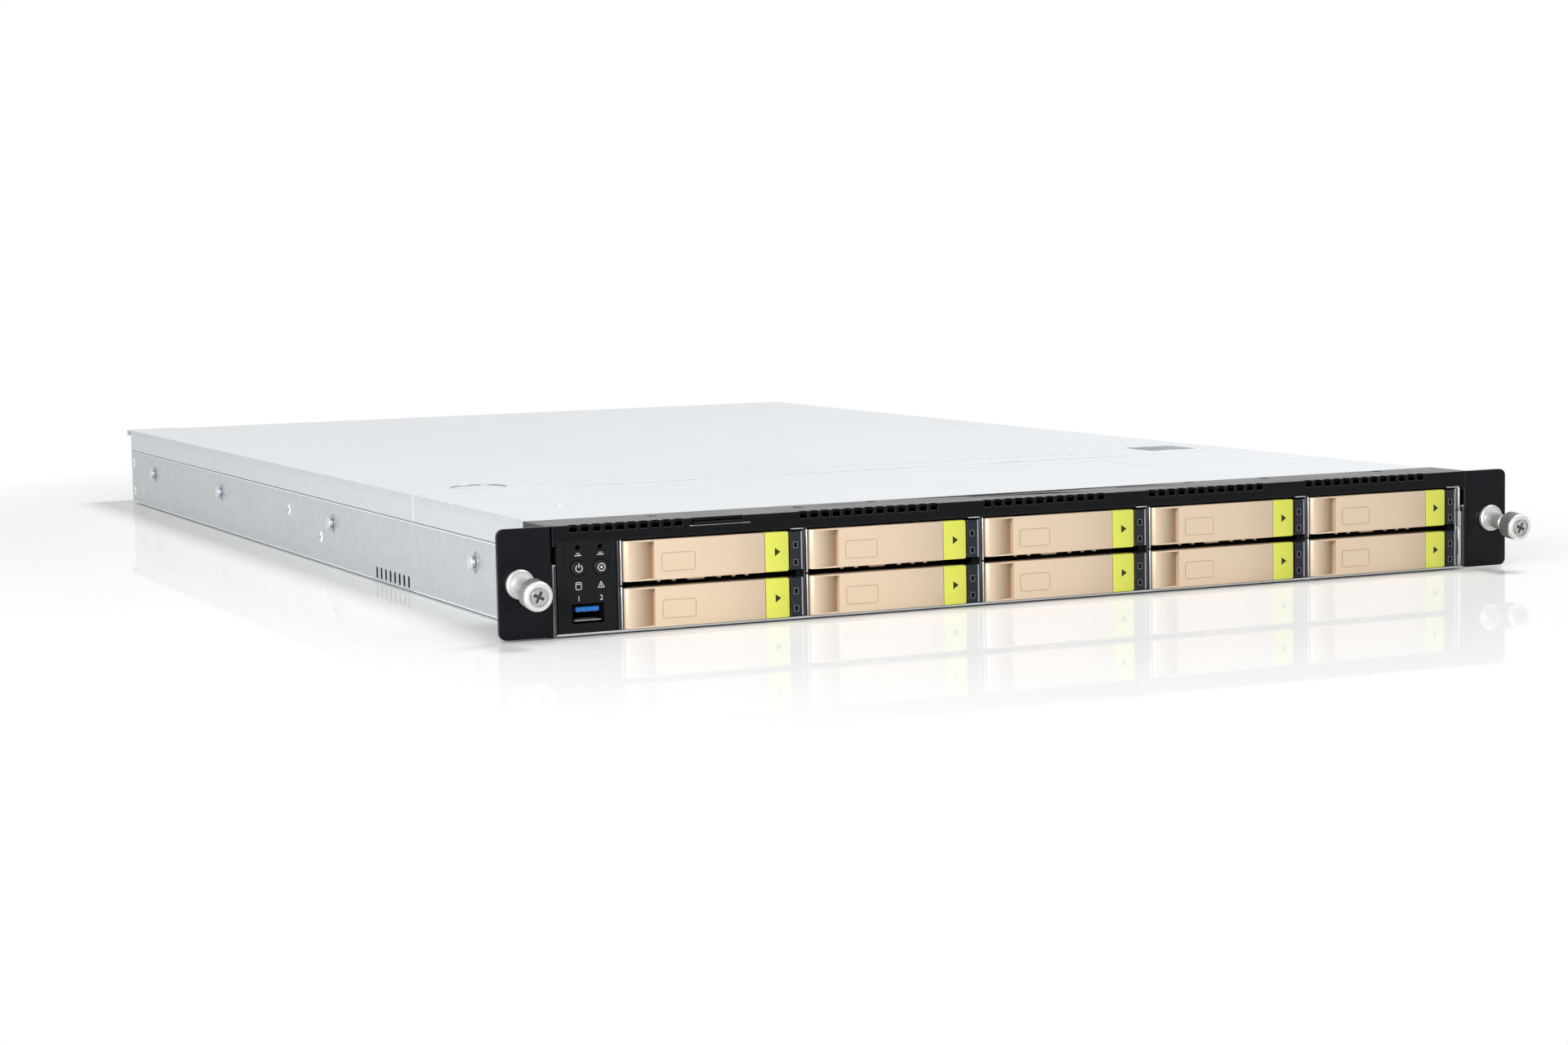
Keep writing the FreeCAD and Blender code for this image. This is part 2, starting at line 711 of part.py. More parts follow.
# -------------------------------------------------------------------------------- ears and thumbscrews
def ear(label, side):
    """Folded mounting ear: a front plate with rounded outer corners and a flange along the tray."""
    body = new_body(label)
    inner = HALF_TRAY + size("ear_stand_off")
    outer, thick, corner = size("rack_width") / 2, size("ear_plate"), size("ear_corner")
    plate = [
        (side * (inner + thick), 0), (side * outer, 0, corner),
        (side * outer, size("ear_height"), corner), (side * (inner + thick), size("ear_height")),
    ]
    extrude(body, "XZ", 0, thick, plate)
    bend, near, far = size("ear_bend"), side * inner, side * (inner + thick)
    fold = [(near, 0, bend), (far, 0), (far, size("ear_return")), (near, size("ear_return"))]
    extrude(body, "XY", 0, size("ear_height"), fold)
    hole_x, hole_z = side * size("rack_hole_spacing") / 2, size("screw_height")
    bore = Circle(hole_x, hole_z, size("screw_shank_radius") + size("running_gap"))
    cut(body, "XZ", -OVERSHOOT, thick + OVERSHOOT * 2, bore)
    return place(body)


def thumbscrew(label, side):
    """Captive screw that stands out when it is loose: a head, a shank and a threaded tail."""
    body = new_body(label)
    reach = size("screw_reach")
    head, shank, thread = size("screw_head_radius"), size("screw_shank_radius"), size("screw_thread_radius")
    head_length, tail = size("screw_head_length"), size("screw_tail")
    shank_length = reach - head_length + size("ear_plate")
    turned_stack(body, -reach, (head, head_length, HEAD_SIDES), (shank, shank_length, SHANK_SIDES),
                 (thread, tail, PIN_FLATS))
    return place(body, side * size("rack_hole_spacing") / 2, size("screw_height"))


STUD_STATIONS = (94.0, 306.0, 523.0, 682.0)


def rail_studs():
    """Shouldered studs on both sides of the tray that carry the slide rails."""
    pieces = []
    for side in (-1, 1):
        for station in STUD_STATIONS:
            for radius, start, length in (
                ("stud_radius", 0, size("stud_length")),
                ("stud_head_radius", size("stud_length"), size("stud_head_thick")),
            ):
                stud = doc.addObject("Part::Prism", "stud")
                stud.Polygon = PIN_FLATS
                bind(stud, "Circumradius", size(radius))
                bind(stud, "Height", length)
                stud.Placement.Rotation = FreeCAD.Rotation(Vector(0, 1, 0), 90 * side)
                bind(stud, ".Placement.Base.x", side * (HALF_TRAY + start))
                bind(stud, ".Placement.Base.y", Size(station, str(station)))
                bind(stud, ".Placement.Base.z", size("stud_height"))
                pieces.append(stud)
    group = doc.addObject("Part::MultiFuse", "rail_studs")
    group.Shapes = pieces
    group.Label = "rail_studs"
    return place(group)


# --------------------------------------------------------------------------------------- control panel
def control_panel():
    """Moulded face of the control panel with two buttons, two pinholes and a data socket opening."""
    body = new_body("control_panel")
    width, height, wall = size("panel_width"), size("panel_height"), size("panel_wall")
    face, bottom = size("panel_recess"), size("tray_sheet") + size("panel_floor_gap")
    extrude(body, "XZ", face, size("panel_depth"), rectangle(0, width, bottom, bottom + height))
    hollow = rectangle(wall, width - wall, bottom + wall, bottom + height - wall)
    cut(body, "XZ", face + size("panel_thick"), size("panel_depth"), hollow)
    button, second = size("button_x"), size("button_x") + size("button_spacing")
    hole = size("button_radius") + size("button_gap")
    openings = [polygon(x, size("button_z"), hole, HEAD_SIDES) for x in (button, second)]
    openings += [polygon(x, size("pinhole_z"), size("pinhole_radius"), PIN_FLATS) for x in (button, second)]
    face_cut = size("panel_thick") + face + OVERSHOOT
    cut(body, "XZ", 0, face_cut, *openings)
    half, tall = size("usb_hole_width") / 2, size("usb_hole_height") / 2
    x, z = size("usb_x"), size("usb_z")
    socket = rectangle(x - half, x + half, z - tall, z + tall)
    cut(body, "XZ", 0, face_cut, socket)
    return place(body, PANEL_LEFT)


def button(label, index):
    """Push button with a stem that reaches its switch."""
    body = new_body(label)
    radius, stem, proud = size("button_radius"), size("button_stem_radius"), size("button_proud")
    cap = proud + size("panel_thick") / 2
    turned_stack(body, size("panel_recess") - proud, (radius, cap, HEAD_SIDES),
                 (stem, size("button_length") - cap, PIN_FLATS))
    x = PANEL_LEFT + size("button_x") + size("button_spacing") * index
    return place(body, x, size("button_z"))


def front_io_board():
    """Board behind the control panel with the data socket's metal shell and tongue."""
    body = new_body("front_io_board")
    wall, width = size("panel_wall") + size("piece_gap"), size("panel_width")
    bottom = size("tray_sheet") + size("panel_floor_gap") + wall
    top = size("tray_sheet") + size("panel_floor_gap") + size("panel_height") - wall
    start = size("panel_recess") + size("usb_shell_depth") - size("io_board_thick")
    extrude(body, "XZ", start, size("io_board_thick"), rectangle(wall, width - wall, bottom, top))
    x, z = size("usb_x"), size("usb_z")
    half, tall, metal = size("usb_shell_width") / 2, size("usb_shell_height") / 2, size("usb_sheet")
    front = size("panel_recess") + metal
    extrude(body, "XZ", front, start - front, rectangle(x - half, x + half, z - tall, z + tall))
    inside = rectangle(x - half + metal, x + half - metal, z - tall + metal, z + tall - metal)
    cut(body, "XZ", 0, start - metal, inside)
    tongue_half, tongue_top = size("usb_tongue_width") / 2, z + tall - metal * 2
    tongue = rectangle(x - tongue_half, x + tongue_half, tongue_top - size("usb_tongue"), tongue_top)
    extrude(body, "XZ", front + metal, start - front - metal, tongue)
    return place(body, PANEL_LEFT)


# --------------------------------------------------------------------------------------- drive modules
def drive_carrier(label):
    """Sled with its drive: side walls, a front plate, the light strip and the tongue of the hinge."""
    body = new_body(label)
    gap, sheet_thick, plate = size("piece_gap"), size("sled_sheet"), size("sled_plate")
    bottom, height = gap, size("handle_height") - gap * 2
    right, back = size("sled_width"), SLED_FRONT + plate
    extrude(body, "XZ", SLED_FRONT, plate, rectangle(gap, right, bottom, bottom + height))
    drive_left = (right + gap - size("drive_width")) / 2
    drive = rectangle(drive_left, drive_left + size("drive_width"), bottom + sheet_thick,
                      bottom + sheet_thick + size("drive_height"))
    extrude(body, "XZ", back, size("drive_length"), drive)
    floor = rectangle(gap, right, bottom, bottom + sheet_thick)
    extrude(body, "XZ", back, size("drive_length"), floor)
    wall_height = size("sled_wall_height")
    sides = [rectangle(left, left + sheet_thick, bottom, bottom + wall_height)
             for left in (gap, right - sheet_thick)]
    extrude(body, "XZ", back, size("drive_length"), *sides)
    wall_edge = rectangle(right - sheet_thick, right, bottom, bottom + height)
    strip = size("strip_start")
    lights = rectangle(strip, strip + size("strip_width"), bottom, bottom + height)
    face = size("strip_recess") - size("handle_proud")
    extrude(body, "XZ", face, SLED_FRONT - face, lights, wall_edge)
    middle, half, radius = size("handle_height") / 2, size("hinge_tongue") / 2, size("hinge_tongue_half")
    tongue_front = HINGE_Y - size("hinge_pin_radius") - size("hinge_pin_gap")
    tongue = rectangle(HINGE_X - radius, HINGE_X + radius, tongue_front, SLED_FRONT)
    extrude(body, "XY", middle - half + gap / 2, size("hinge_tongue") - gap, tongue)
    pin_end = middle - size("hinge_pin_inset")
    pin = polygon(HINGE_X, HINGE_Y, size("hinge_pin_radius"), PIN_FLATS)
    extrude(body, "XY", middle - pin_end, pin_end * 2, pin)
    stem, slot = size("latch_stem") / 2, size("latch_travel") + gap
    latch_x = size("handle_length") + gap + size("latch_length") / 2
    window = rectangle(latch_x - stem - gap, latch_x + stem + slot, middle - stem - gap, middle + stem + gap)
    cut(body, "XZ", SLED_FRONT - OVERSHOOT, plate + OVERSHOOT, window)
    return body


def drive_handle(label):
    """Hinged handle bar with a finger scoop at its hinged end and a hollow back."""
    body = new_body(label)
    length, height, skin = size("handle_length"), size("handle_height"), size("handle_skin")
    face, back = -size("handle_proud"), SHELL_FRONT
    half_turn = [math.pi * (step / END_FLATS + 0.5) for step in range(END_FLATS + 1)]
    round_end = [(HINGE_X + HINGE_X * math.cos(turn), HINGE_Y + HINGE_X * math.sin(turn))
                 for turn in half_turn]
    extrude(body, "XY", 0, height, [(length, face), (length, back), *round_end])
    start, end, rim = size("scoop_start"), size("scoop_length"), size("scoop_rim")
    deep, over = face + size("scoop_depth"), face - OVERSHOOT
    scoop = [
        (start, over), (end, over), (end, face), (end + size("scoop_undercut"), deep),
        ((start + end) / 2, deep - size("scoop_lift")), (start, face),
    ]
    cut(body, "XY", rim, height - rim * 2, scoop)
    hollow_start = end + size("scoop_undercut") + skin
    hollow = rectangle(hollow_start, length - skin, skin, height - skin)
    cut(body, "XZ", face + skin, size("handle_thick"), hollow)
    gap, half = size("piece_gap"), size("hinge_tongue_half")
    notch_right = HINGE_X + half + gap
    notch_front = HINGE_Y - half - gap
    slot = rectangle(-OVERSHOOT, notch_right, notch_front, back + OVERSHOOT)
    cut(body, "XY", height / 2 - size("hinge_tongue") / 2, size("hinge_tongue"), slot)
    bore = (size("hinge_pin_radius") + size("hinge_pin_gap")) / math.cos(math.pi / PIN_FLATS)
    bore_end = height / 2 - size("hinge_pin_inset") + size("piece_gap") * 2
    cut(body, "XY", height / 2 - bore_end, bore_end * 2, polygon(HINGE_X, HINGE_Y, bore, PIN_FLATS))
    return body


def handle_latch(label):
    """Push catch beside the handle, on a stem that slides in the sled's front plate."""
    body = new_body(label)
    gap, stem = size("piece_gap"), size("latch_stem") / 2
    left = size("handle_length") + gap
    right, face = left + size("latch_length"), -size("handle_proud")
    corner, height = size("latch_corner"), size("handle_height")
    outline = [
        (left, 0), (right - corner, 0), (right, corner), (right, height - corner), (right - corner, height),
        (left, height),
    ]
    extrude(body, "XZ", face, size("latch_thick"), outline)
    centre, middle = (left + right) / 2, height / 2
    post = rectangle(centre - stem, centre + stem, middle - stem, middle + stem)
    start = face + size("latch_thick")
    extrude(body, "XZ", start, SLED_FRONT + size("sled_plate") - gap - start, post)
    return body


def drive_cage():
    """Comb of dividers under one top sheet, with guide ribs that carry the upper row of sleds."""
    body = new_body("drive_cage")
    hem, floor, top = size("hem_width"), size("tray_sheet"), size("cage_top")
    count = int(number(size("bay_count")))
    lefts = [CAGE_LEFT + size("bay_pitch") * column for column in range(count + 1)]
    dividers = [rectangle(left, left + hem, floor, top) for left in lefts]
    extrude(body, "XZ", size("piece_gap"), size("cage_depth"), *dividers)
    lid = rectangle(CAGE_LEFT, lefts[-1] + hem, top, top + size("cage_sheet"))
    extrude(body, "XZ", CAGE_FRONT, size("cage_depth") + size("piece_gap") - CAGE_FRONT, lid)
    z = size("row_first") + size("handle_height") + (size("row_pitch") - size("handle_height")) / 2
    half, reach = size("guide_height") / 2, size("guide_reach")
    ribs = [rectangle(left + hem, left + hem + reach, z - half, z + half) for left in lefts[:-1]]
    ribs += [rectangle(left - reach, left, z - half, z + half) for left in lefts[1:]]
    start = SLED_FRONT
    extrude(body, "XZ", start, size("cage_depth") - start, *ribs)
    return place(body)


def backplane():
    """Upright board behind the drives with one connector for each sled."""
    body = new_body("backplane")
    count = int(number(size("bay_count")))
    start = SLED_FRONT + size("sled_plate") + size("drive_length") + size("plug_gap")
    right = CAGE_LEFT + size("bay_pitch") * count + size("hem_width")
    back = size("cage_depth") + size("backplane_gap")
    bottom, top = size("tray_sheet"), size("cage_top")
    board = rectangle(CAGE_LEFT, right, bottom, top)
    extrude(body, "XZ", back, size("backplane_thick"), board)
    plug, tall = size("plug_width") / 2, size("plug_height") / 2
    sockets = []
    for column in range(count):
        for level in range(2):
            x = size("bay_first") + size("bay_pitch") * column + size("sled_width") / 2
            z = size("row_first") + size("row_pitch") * level + size("handle_height") / 2
            sockets.append(rectangle(x - plug, x + plug, z - tall, z + tall))
    extrude(body, "XZ", start, back - start, *sockets)
    return place(body)


# ------------------------------------------------------------------------------------------------ fans
def fan_places():
    """Distances of the fan axes from the middle of the tray."""
    count = int(number(size("fan_count")))
    return [size("fan_pitch") * (index - (count - 1) / 2) for index in range(count)]


def fan_frames():
    """Row of fan housings on one rail, each with a bore, a motor cup and struts."""
    body = new_body("fan_frames")
    half, bore, hub = size("fan_size") / 2, size("fan_bore_radius"), size("fan_hub_radius")
    front, depth, strut = size("fan_front"), size("fan_depth"), size("fan_strut")
    places = fan_places()
    rail = rectangle(places[0] - half, places[-1] + half, front, front + depth)
    extrude(body, "XY", size("tray_sheet"), size("fan_rail_thick"), rail)
    blocks = [rectangle(x - half, x + half, size("tray_sheet"), size("tray_sheet") + size("fan_size"))
              for x in places]
    extrude(body, "XZ", front, depth, *blocks)
    bores = [polygon(x, FAN_AXIS_Z, bore, HEAD_SIDES) for x in places]
    cut(body, "XZ", front - OVERSHOOT, depth + OVERSHOOT * 2, *bores)
    back = front + depth - strut
    arm, reach = strut / 2, bore + strut / 2
    level = [rectangle(x - reach, x + reach, FAN_AXIS_Z - arm, FAN_AXIS_Z + arm) for x in places]
    upright = [rectangle(x - arm, x + arm, FAN_AXIS_Z - reach, FAN_AXIS_Z + reach) for x in places]
    extrude(body, "XZ", back, strut, *level)
    extrude(body, "XZ", back, strut, *upright)
    extrude(body, "XZ", back, strut, *[polygon(x, FAN_AXIS_Z, hub) for x in places])
    shafts = [polygon(x, FAN_AXIS_Z, size("fan_shaft_radius"), PIN_FLATS) for x in places]
    extrude(body, "XZ", back - size("fan_shaft_length"), size("fan_shaft_length"), *shafts)
    return place(body)


def fan_rotor(label, x):
    """Impeller: a bored hub with slanted blades."""
    body = new_body(label)
    hub, thick, span = size("fan_hub_radius"), size("fan_blade_thick"), size("fan_blade_span")
    start = size("fan_front") + size("fan_strut")
    length = size("fan_depth") - size("fan_strut") * 2 - size("fan_rotor_gap")
    bore = (size("fan_shaft_radius") + size("fan_shaft_gap")) / math.cos(math.pi / PIN_FLATS)
    blades = int(number(size("fan_blade_count")))
    extrude(body, "XZ", start, length, polygon(0, 0, hub, blades * 2), polygon(0, 0, bore, PIN_FLATS))
    tip = size("fan_bore_radius") - size("fan_tip_gap")
    sweep, first = size("fan_blade_sweep"), start + (length - span) / 2
    blade = [
        (-sweep - thick / 2, first), (thick / 2 - sweep, first), (sweep + thick / 2, first + span),
        (sweep - thick / 2, first + span),
    ]
    reach = tip - hub
    feature = extrude(body, "XY", hub - size("fan_tip_gap"), reach, blade)
    turn_copies(body, feature, "Y", size("fan_blade_count"))
    return place(body, x, FAN_AXIS_Z)


# ---------------------------------------------------------------------------------------------- boards
def motherboard():
    """Main board with its processor socket, memory slots and the sockets that show at the back."""
    body = new_body("motherboard")
    low, thick = size("board_height"), size("board_thick")
    left, right = size("board_side_gap") - INSIDE_X, INSIDE_X - size("board_side_gap")
    shoulder = PSU_FRONT - size("board_side_gap")
    narrow = PSU_LEFT + (size("psu_width") + size("psu_gap")) * 2
    end = BACK_FACE - size("board_end_gap")
    outline = [
        (left, size("board_front")), (right, size("board_front")), (right, end), (narrow, end),
        (narrow, shoulder), (left, shoulder),
    ]
    extrude(body, "XY", low, thick, outline)
    half, start = size("heatsink_width") / 2, size("heatsink_y")
    seat = rectangle(-half, half, start, start + size("heatsink_length"))
    slot_half, card_half = size("memory_slot_width") / 2, size("memory_thick") / 2
    overhang, card_end = size("memory_latch_length"), start + size("memory_length")
    slots = [rectangle(x - slot_half, x + slot_half, start - overhang, card_end + overhang)
             for x in memory_places()]
    extrude(body, "XY", BOARD_TOP, size("socket_height"), seat, *slots)
    card_bottom = BOARD_TOP + size("socket_height")
    cards = [rectangle(x - card_half, x + card_half, start, card_end) for x in memory_places()]
    extrude(body, "XY", card_bottom, size("memory_top") - card_bottom, *cards)
    pads = [polygon(x, y, size("board_pad_radius"))
            for x in (left + size("board_pad_inset"), right - size("board_pad_inset"))
            for y in (size("board_front") + size("board_pad_inset"), shoulder - size("board_pad_inset"))]
    extrude(body, "XY", size("tray_sheet"), low - size("tray_sheet"), *pads)
    return place(body)


def port_block(low):
    """Outlines of the socket blocks at the back: ganged network sockets, stacked data sockets, video."""
    high = low + size("port_height")
    gang = size("port_cell") * size("port_count")
    network = rectangle(size("port_first"), size("port_first") + gang, low, high)
    data = rectangle(size("usb_stack_x"), size("usb_stack_x") + size("usb_stack_width"), low, high)
    video = rectangle(size("video_x"), size("video_x") + size("video_width"), low, low + size("video_height"))
    return [network, data, video]


def port_windows():
    """Outlines of the clearance holes round the socket blocks."""
    gap = size("port_clearance")
    return [rectangle(left - gap, right + gap, bottom - gap, high + gap)
            for (left, bottom), _, (right, high), _ in port_block(BOARD_TOP)]


def port_plate_ends(lap):
    """Left and right edge of the gap that the socket plate closes, with a lap beyond each."""
    margin = size("port_clearance") + size("port_plate_margin") + lap
    return size("port_first") - margin, size("video_x") + size("video_width") + margin


def rear_sockets():
    """Network, data and video sockets on the board's back edge, and the plate that they show through."""
    body = new_body("rear_sockets")
    left_end, right_end = port_plate_ends(size("port_plate_lap"))
    sheet_thick = size("wall_sheet")
    plate = rectangle(left_end, right_end, size("tray_sheet"), PANEL_TOP)
    extrude(body, "XZ", BACK_FACE - sheet_thick, sheet_thick, plate, *port_windows())
    low, height, cell = BOARD_TOP, size("port_height"), size("port_cell")
    extrude(body, "XZ", PORT_FRONT, size("port_depth"), *port_block(low))
    side, level = size("port_wall"), size("port_roof")
    lefts = [size("port_first") + cell * index for index in range(int(number(size("port_count"))))]
    cavities = [rectangle(left + side, left + cell - side, low + level, low + height - level)
                for left in lefts]
    inward = size("port_cavity_depth")
    cut(body, "XZ", PORT_FACE - inward, inward + OVERSHOOT, *cavities)
    tall = size("usb_cavity_height")
    middle, half = size("usb_stack_x") + size("usb_stack_width") / 2, size("usb_cavity_width") / 2
    spare = (height - tall * 2) / 3
    stacked = [rectangle(middle - half, middle + half, z, z + tall)
               for z in (low + spare, low + spare * 2 + tall)]
    inward = size("usb_cavity_depth")
    cut(body, "XZ", PORT_FACE - inward, inward + OVERSHOOT, *stacked)
    return place(body)


def heatsink():
    """Finned cooler on the processor socket."""
    body = new_body("heatsink")
    half, start = size("heatsink_width") / 2, size("heatsink_y")
    bottom = BOARD_TOP + size("socket_height")
    base_top = bottom + size("heatsink_base")
    fins = int(number(size("fin_count")))
    spread = size("fin_pitch") * (fins - 1) / 2
    extrude(body, "XZ", start, size("heatsink_length"), rectangle(-half, half, bottom, base_top))
    thin = size("fin_thick") / 2
    blades = [rectangle(size("fin_pitch") * fin - spread - thin, size("fin_pitch") * fin - spread + thin,
                        base_top, size("heatsink_top")) for fin in range(fins)]
    extrude(body, "XZ", start, size("heatsink_length"), *blades)
    return place(body)


def memory_places():
    """Distances of the memory modules from the middle, in a bank on each side of the cooler."""
    count = int(number(size("memory_count")))
    offsets = [size("memory_offset") + size("memory_pitch") * index for index in range(count)]
    return [-offset for offset in reversed(offsets)] + offsets


# ------------------------------------------------------------------------------------------- back panel
def rear_panel():
    """Two upright sheets at the back: one frames the supplies, one has a card slot and air holes."""
    body = new_body("rear_panel")
    sheet_thick, floor = size("wall_sheet"), size("tray_sheet")
    gap = size("port_clearance")
    left_edge, right_edge = port_plate_ends(0)
    left_sheet = rectangle(-INSIDE_X, left_edge, floor, PANEL_TOP)
    right_sheet = rectangle(right_edge, INSIDE_X, floor, PANEL_TOP)
    extrude(body, "XZ", BACK_FACE, sheet_thick, left_sheet, right_sheet)
    supplies_end = PSU_LEFT + (size("psu_width") + size("psu_gap")) * 2 - size("psu_gap") + gap
    supplies_top = PSU_Z + size("psu_height") + gap
    bays = rectangle(PSU_LEFT - gap, supplies_end, PSU_Z - gap / 2, supplies_top)
    before, through = BACK_FACE - OVERSHOOT, sheet_thick + OVERSHOOT * 2
    cut(body, "XZ", before, through, bays)
    slot, slot_z = size("bracket_x"), size("bracket_z")
    bracket = rectangle(slot, slot + size("bracket_width"), slot_z, slot_z + size("bracket_height"))
    extrude(body, "XZ", BACK_FACE + sheet_thick, size("bracket_thick"), bracket)
    hole = polygon(size("back_vent_x"), size("back_vent_z"), size("back_vent_radius"))
    first_vent = cut(body, "XZ", before, through, hole)
    repeat(body, first_vent, "X", size("back_vent_pitch"), size("back_vent_count"))
    return place(body)


def supply_left(index):
    return PSU_LEFT + (size("psu_width") + size("psu_gap")) * index


def power_supply(label, index):
    """Plug-in supply: a long case with a mains inlet and a grip to pull it by."""
    body = new_body(label)
    width, height = size("psu_width"), size("psu_height")
    extrude(body, "XZ", PSU_FRONT, size("psu_length"), rectangle(0, width, 0, height))
    half, tall, middle = size("inlet_width") / 2, size("inlet_height") / 2, height / 2
    inlet = rectangle(size("inlet_x") - half, size("inlet_x") + half, middle - tall, middle + tall)
    cut(body, "XZ", PSU_BACK - size("inlet_depth"), size("inlet_depth") + OVERSHOOT, inlet)
    bar, reach, tall = size("grip_bar"), size("grip_reach"), size("grip_height") / 2
    grip = [
        (PSU_BACK, middle - tall), (PSU_BACK + reach, middle - tall, bar),
        (PSU_BACK + reach, middle + tall, bar), (PSU_BACK, middle + tall),
        (PSU_BACK, middle + tall - bar), (PSU_BACK + reach - bar, middle + tall - bar, bar / 2),
        (PSU_BACK + reach - bar, middle - tall + bar, bar / 2), (PSU_BACK, middle - tall + bar),
    ]
    extrude(body, "YZ", size("grip_x"), size("grip_width"), grip)
    return place(body, supply_left(index), PSU_Z)


def supply_latch(label, index):
    """Thumb tab that slides sideways across the supply's back face to free it."""
    body = new_body(label)
    gap, thick = size("piece_gap"), size("psu_latch_thick")
    left, right = size("psu_latch_x"), size("psu_width") - size("psu_latch_travel") - gap
    low = size("psu_latch_z") - size("psu_latch_height") / 2
    high = low + size("psu_latch_height")
    extrude(body, "XZ", PSU_BACK + gap, thick, rectangle(left, right, low, high))
    ridge = (left + right) / 2
    rib = rectangle(ridge - thick / 2, ridge + thick / 2, low, high)
    extrude(body, "XZ", PSU_BACK + gap + thick, thick, rib)
    return place(body, supply_left(index), PSU_Z)


# -------------------------------------------------------------------------------------------- assembly
def build_parts():
    """Every piece of the server, each an object with its own label."""
    parts = [
        base_pan(), front_cover(), rear_cover(), cover_latch(), bezel_hood(), info_tag(),
        ear("ear_left", -1), ear("ear_right", 1), thumbscrew("thumbscrew_left", -1),
        thumbscrew("thumbscrew_right", 1), rail_studs(), control_panel(), button("power_button", 0),
        button("locate_button", 1), front_io_board(), drive_cage(), backplane(), fan_frames(),
        motherboard(), heatsink(), rear_sockets(), rear_panel(),
    ]
    for index, x in enumerate(fan_places()):
        parts.append(fan_rotor(f"fan_rotor_{index + 1}", x))
    for index in range(2):
        parts.append(power_supply(f"power_supply_{index + 1}", index))
        parts.append(supply_latch(f"supply_latch_{index + 1}", index))
    for column in range(int(number(size("bay_count")))):
        for level in range(2):
            bay = column * 2 + level + 1
            x = size("bay_first") + size("bay_pitch") * column
            z = size("row_first") + size("row_pitch") * level
            makers = {"carrier": drive_carrier, "handle": drive_handle, "latch": handle_latch}
            for name, maker in makers.items():
                parts.append(place(maker(f"{name}_{bay:02d}"), x, z))
    return parts


def check(parts):
    """Stop if anything in the document failed, a cut missed its solid, or a piece isn't a sound solid."""
    for item in doc.Objects:
        if "Invalid" in item.State or "Error" in item.State:
            raise RuntimeError(f"{item.Label} did not compute: {item.State}")
        if item.TypeId == "PartDesign::Pocket" and item.BaseFeature is not None:
            if item.Shape.Volume >= item.BaseFeature.Shape.Volume:
                raise RuntimeError(f"{item.Label} cut nothing")
    for part in parts:
        if part.Shape.isNull() or not part.Shape.isValid():
            raise RuntimeError(f"{part.Label} has no valid shape")


server_parts = build_parts()
doc.recompute()
check(server_parts)
os.makedirs("parts", exist_ok=True)
for server_part in server_parts:
    server_part.Shape.exportStep(f"parts/{server_part.Label}.step")
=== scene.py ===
import math

import bmesh
import bpy
from mathutils import Matrix, Vector

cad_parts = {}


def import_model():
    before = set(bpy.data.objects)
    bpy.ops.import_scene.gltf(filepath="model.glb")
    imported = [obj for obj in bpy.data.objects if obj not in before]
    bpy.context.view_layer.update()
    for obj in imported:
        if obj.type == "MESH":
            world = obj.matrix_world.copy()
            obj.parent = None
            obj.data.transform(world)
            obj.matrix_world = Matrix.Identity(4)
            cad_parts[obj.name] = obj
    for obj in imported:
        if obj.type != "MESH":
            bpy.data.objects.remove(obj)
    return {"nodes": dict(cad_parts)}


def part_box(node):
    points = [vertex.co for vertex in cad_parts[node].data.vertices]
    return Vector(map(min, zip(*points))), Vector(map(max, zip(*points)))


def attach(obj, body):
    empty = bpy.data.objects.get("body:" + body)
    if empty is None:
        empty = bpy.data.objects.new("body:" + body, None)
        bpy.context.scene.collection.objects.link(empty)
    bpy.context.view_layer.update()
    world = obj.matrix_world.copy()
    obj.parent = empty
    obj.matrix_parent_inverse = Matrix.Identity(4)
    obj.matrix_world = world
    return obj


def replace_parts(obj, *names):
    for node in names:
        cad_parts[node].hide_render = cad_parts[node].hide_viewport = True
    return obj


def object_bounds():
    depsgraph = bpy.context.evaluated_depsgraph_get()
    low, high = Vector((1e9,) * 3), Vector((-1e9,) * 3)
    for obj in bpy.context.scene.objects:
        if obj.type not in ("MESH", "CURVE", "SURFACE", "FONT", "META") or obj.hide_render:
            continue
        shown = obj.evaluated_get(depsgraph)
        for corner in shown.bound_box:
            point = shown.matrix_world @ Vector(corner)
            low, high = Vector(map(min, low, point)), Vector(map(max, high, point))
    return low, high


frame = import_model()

cad_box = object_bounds()
scene = bpy.context.scene
MM = 0.001
CHASSIS = "chassis"
STEEL, PLASTIC = "galvanised_steel", "panel_plastic"
nodes = frame["nodes"]


# ---------------- places, all in millimetres
def corners(node):
    """Lowest and highest corner of a piece of the frame."""
    low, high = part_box(node)
    return low / MM, high / MM


def middle(node):
    """Middle of a piece of the frame."""
    low, high = corners(node)
    return (low + high) / 2


FRONT = corners("bezel_hood")[0].y
PAN_LOW, PAN_HIGH = corners("base_pan")
CAGE_LOW, CAGE_HIGH = corners("drive_cage")
WALLS = ((-1, PAN_LOW.x), (1, PAN_HIGH.x))


# ---------------- shader helpers
def feed(tree, value, socket):
    """Give a socket a value, or join it to another node's output."""
    if isinstance(value, bpy.types.NodeSocket):
        tree.links.new(value, socket)
    else:
        socket.default_value = value


def put(tree, kind, inputs=(), **settings):
    """Add a shader node with its settings and inputs."""
    made = tree.nodes.new("ShaderNode" + kind)
    for name, value in settings.items():
        setattr(made, name, value)
    for name, value in dict(inputs).items():
        feed(tree, value, made.inputs[name])
    return made


def maths(tree, operation, first, second, clamp=False):
    """Two values taken together."""
    return put(tree, "Math", {0: first, 1: second}, operation=operation, use_clamp=clamp).outputs[0]


def blended(tree, mask, first, second):
    """A colour that goes from one to the other as the mask goes from 0 to 1."""
    return put(tree, "Mix", {0: mask, 6: first, 7: second}, data_type="RGBA").outputs[2]


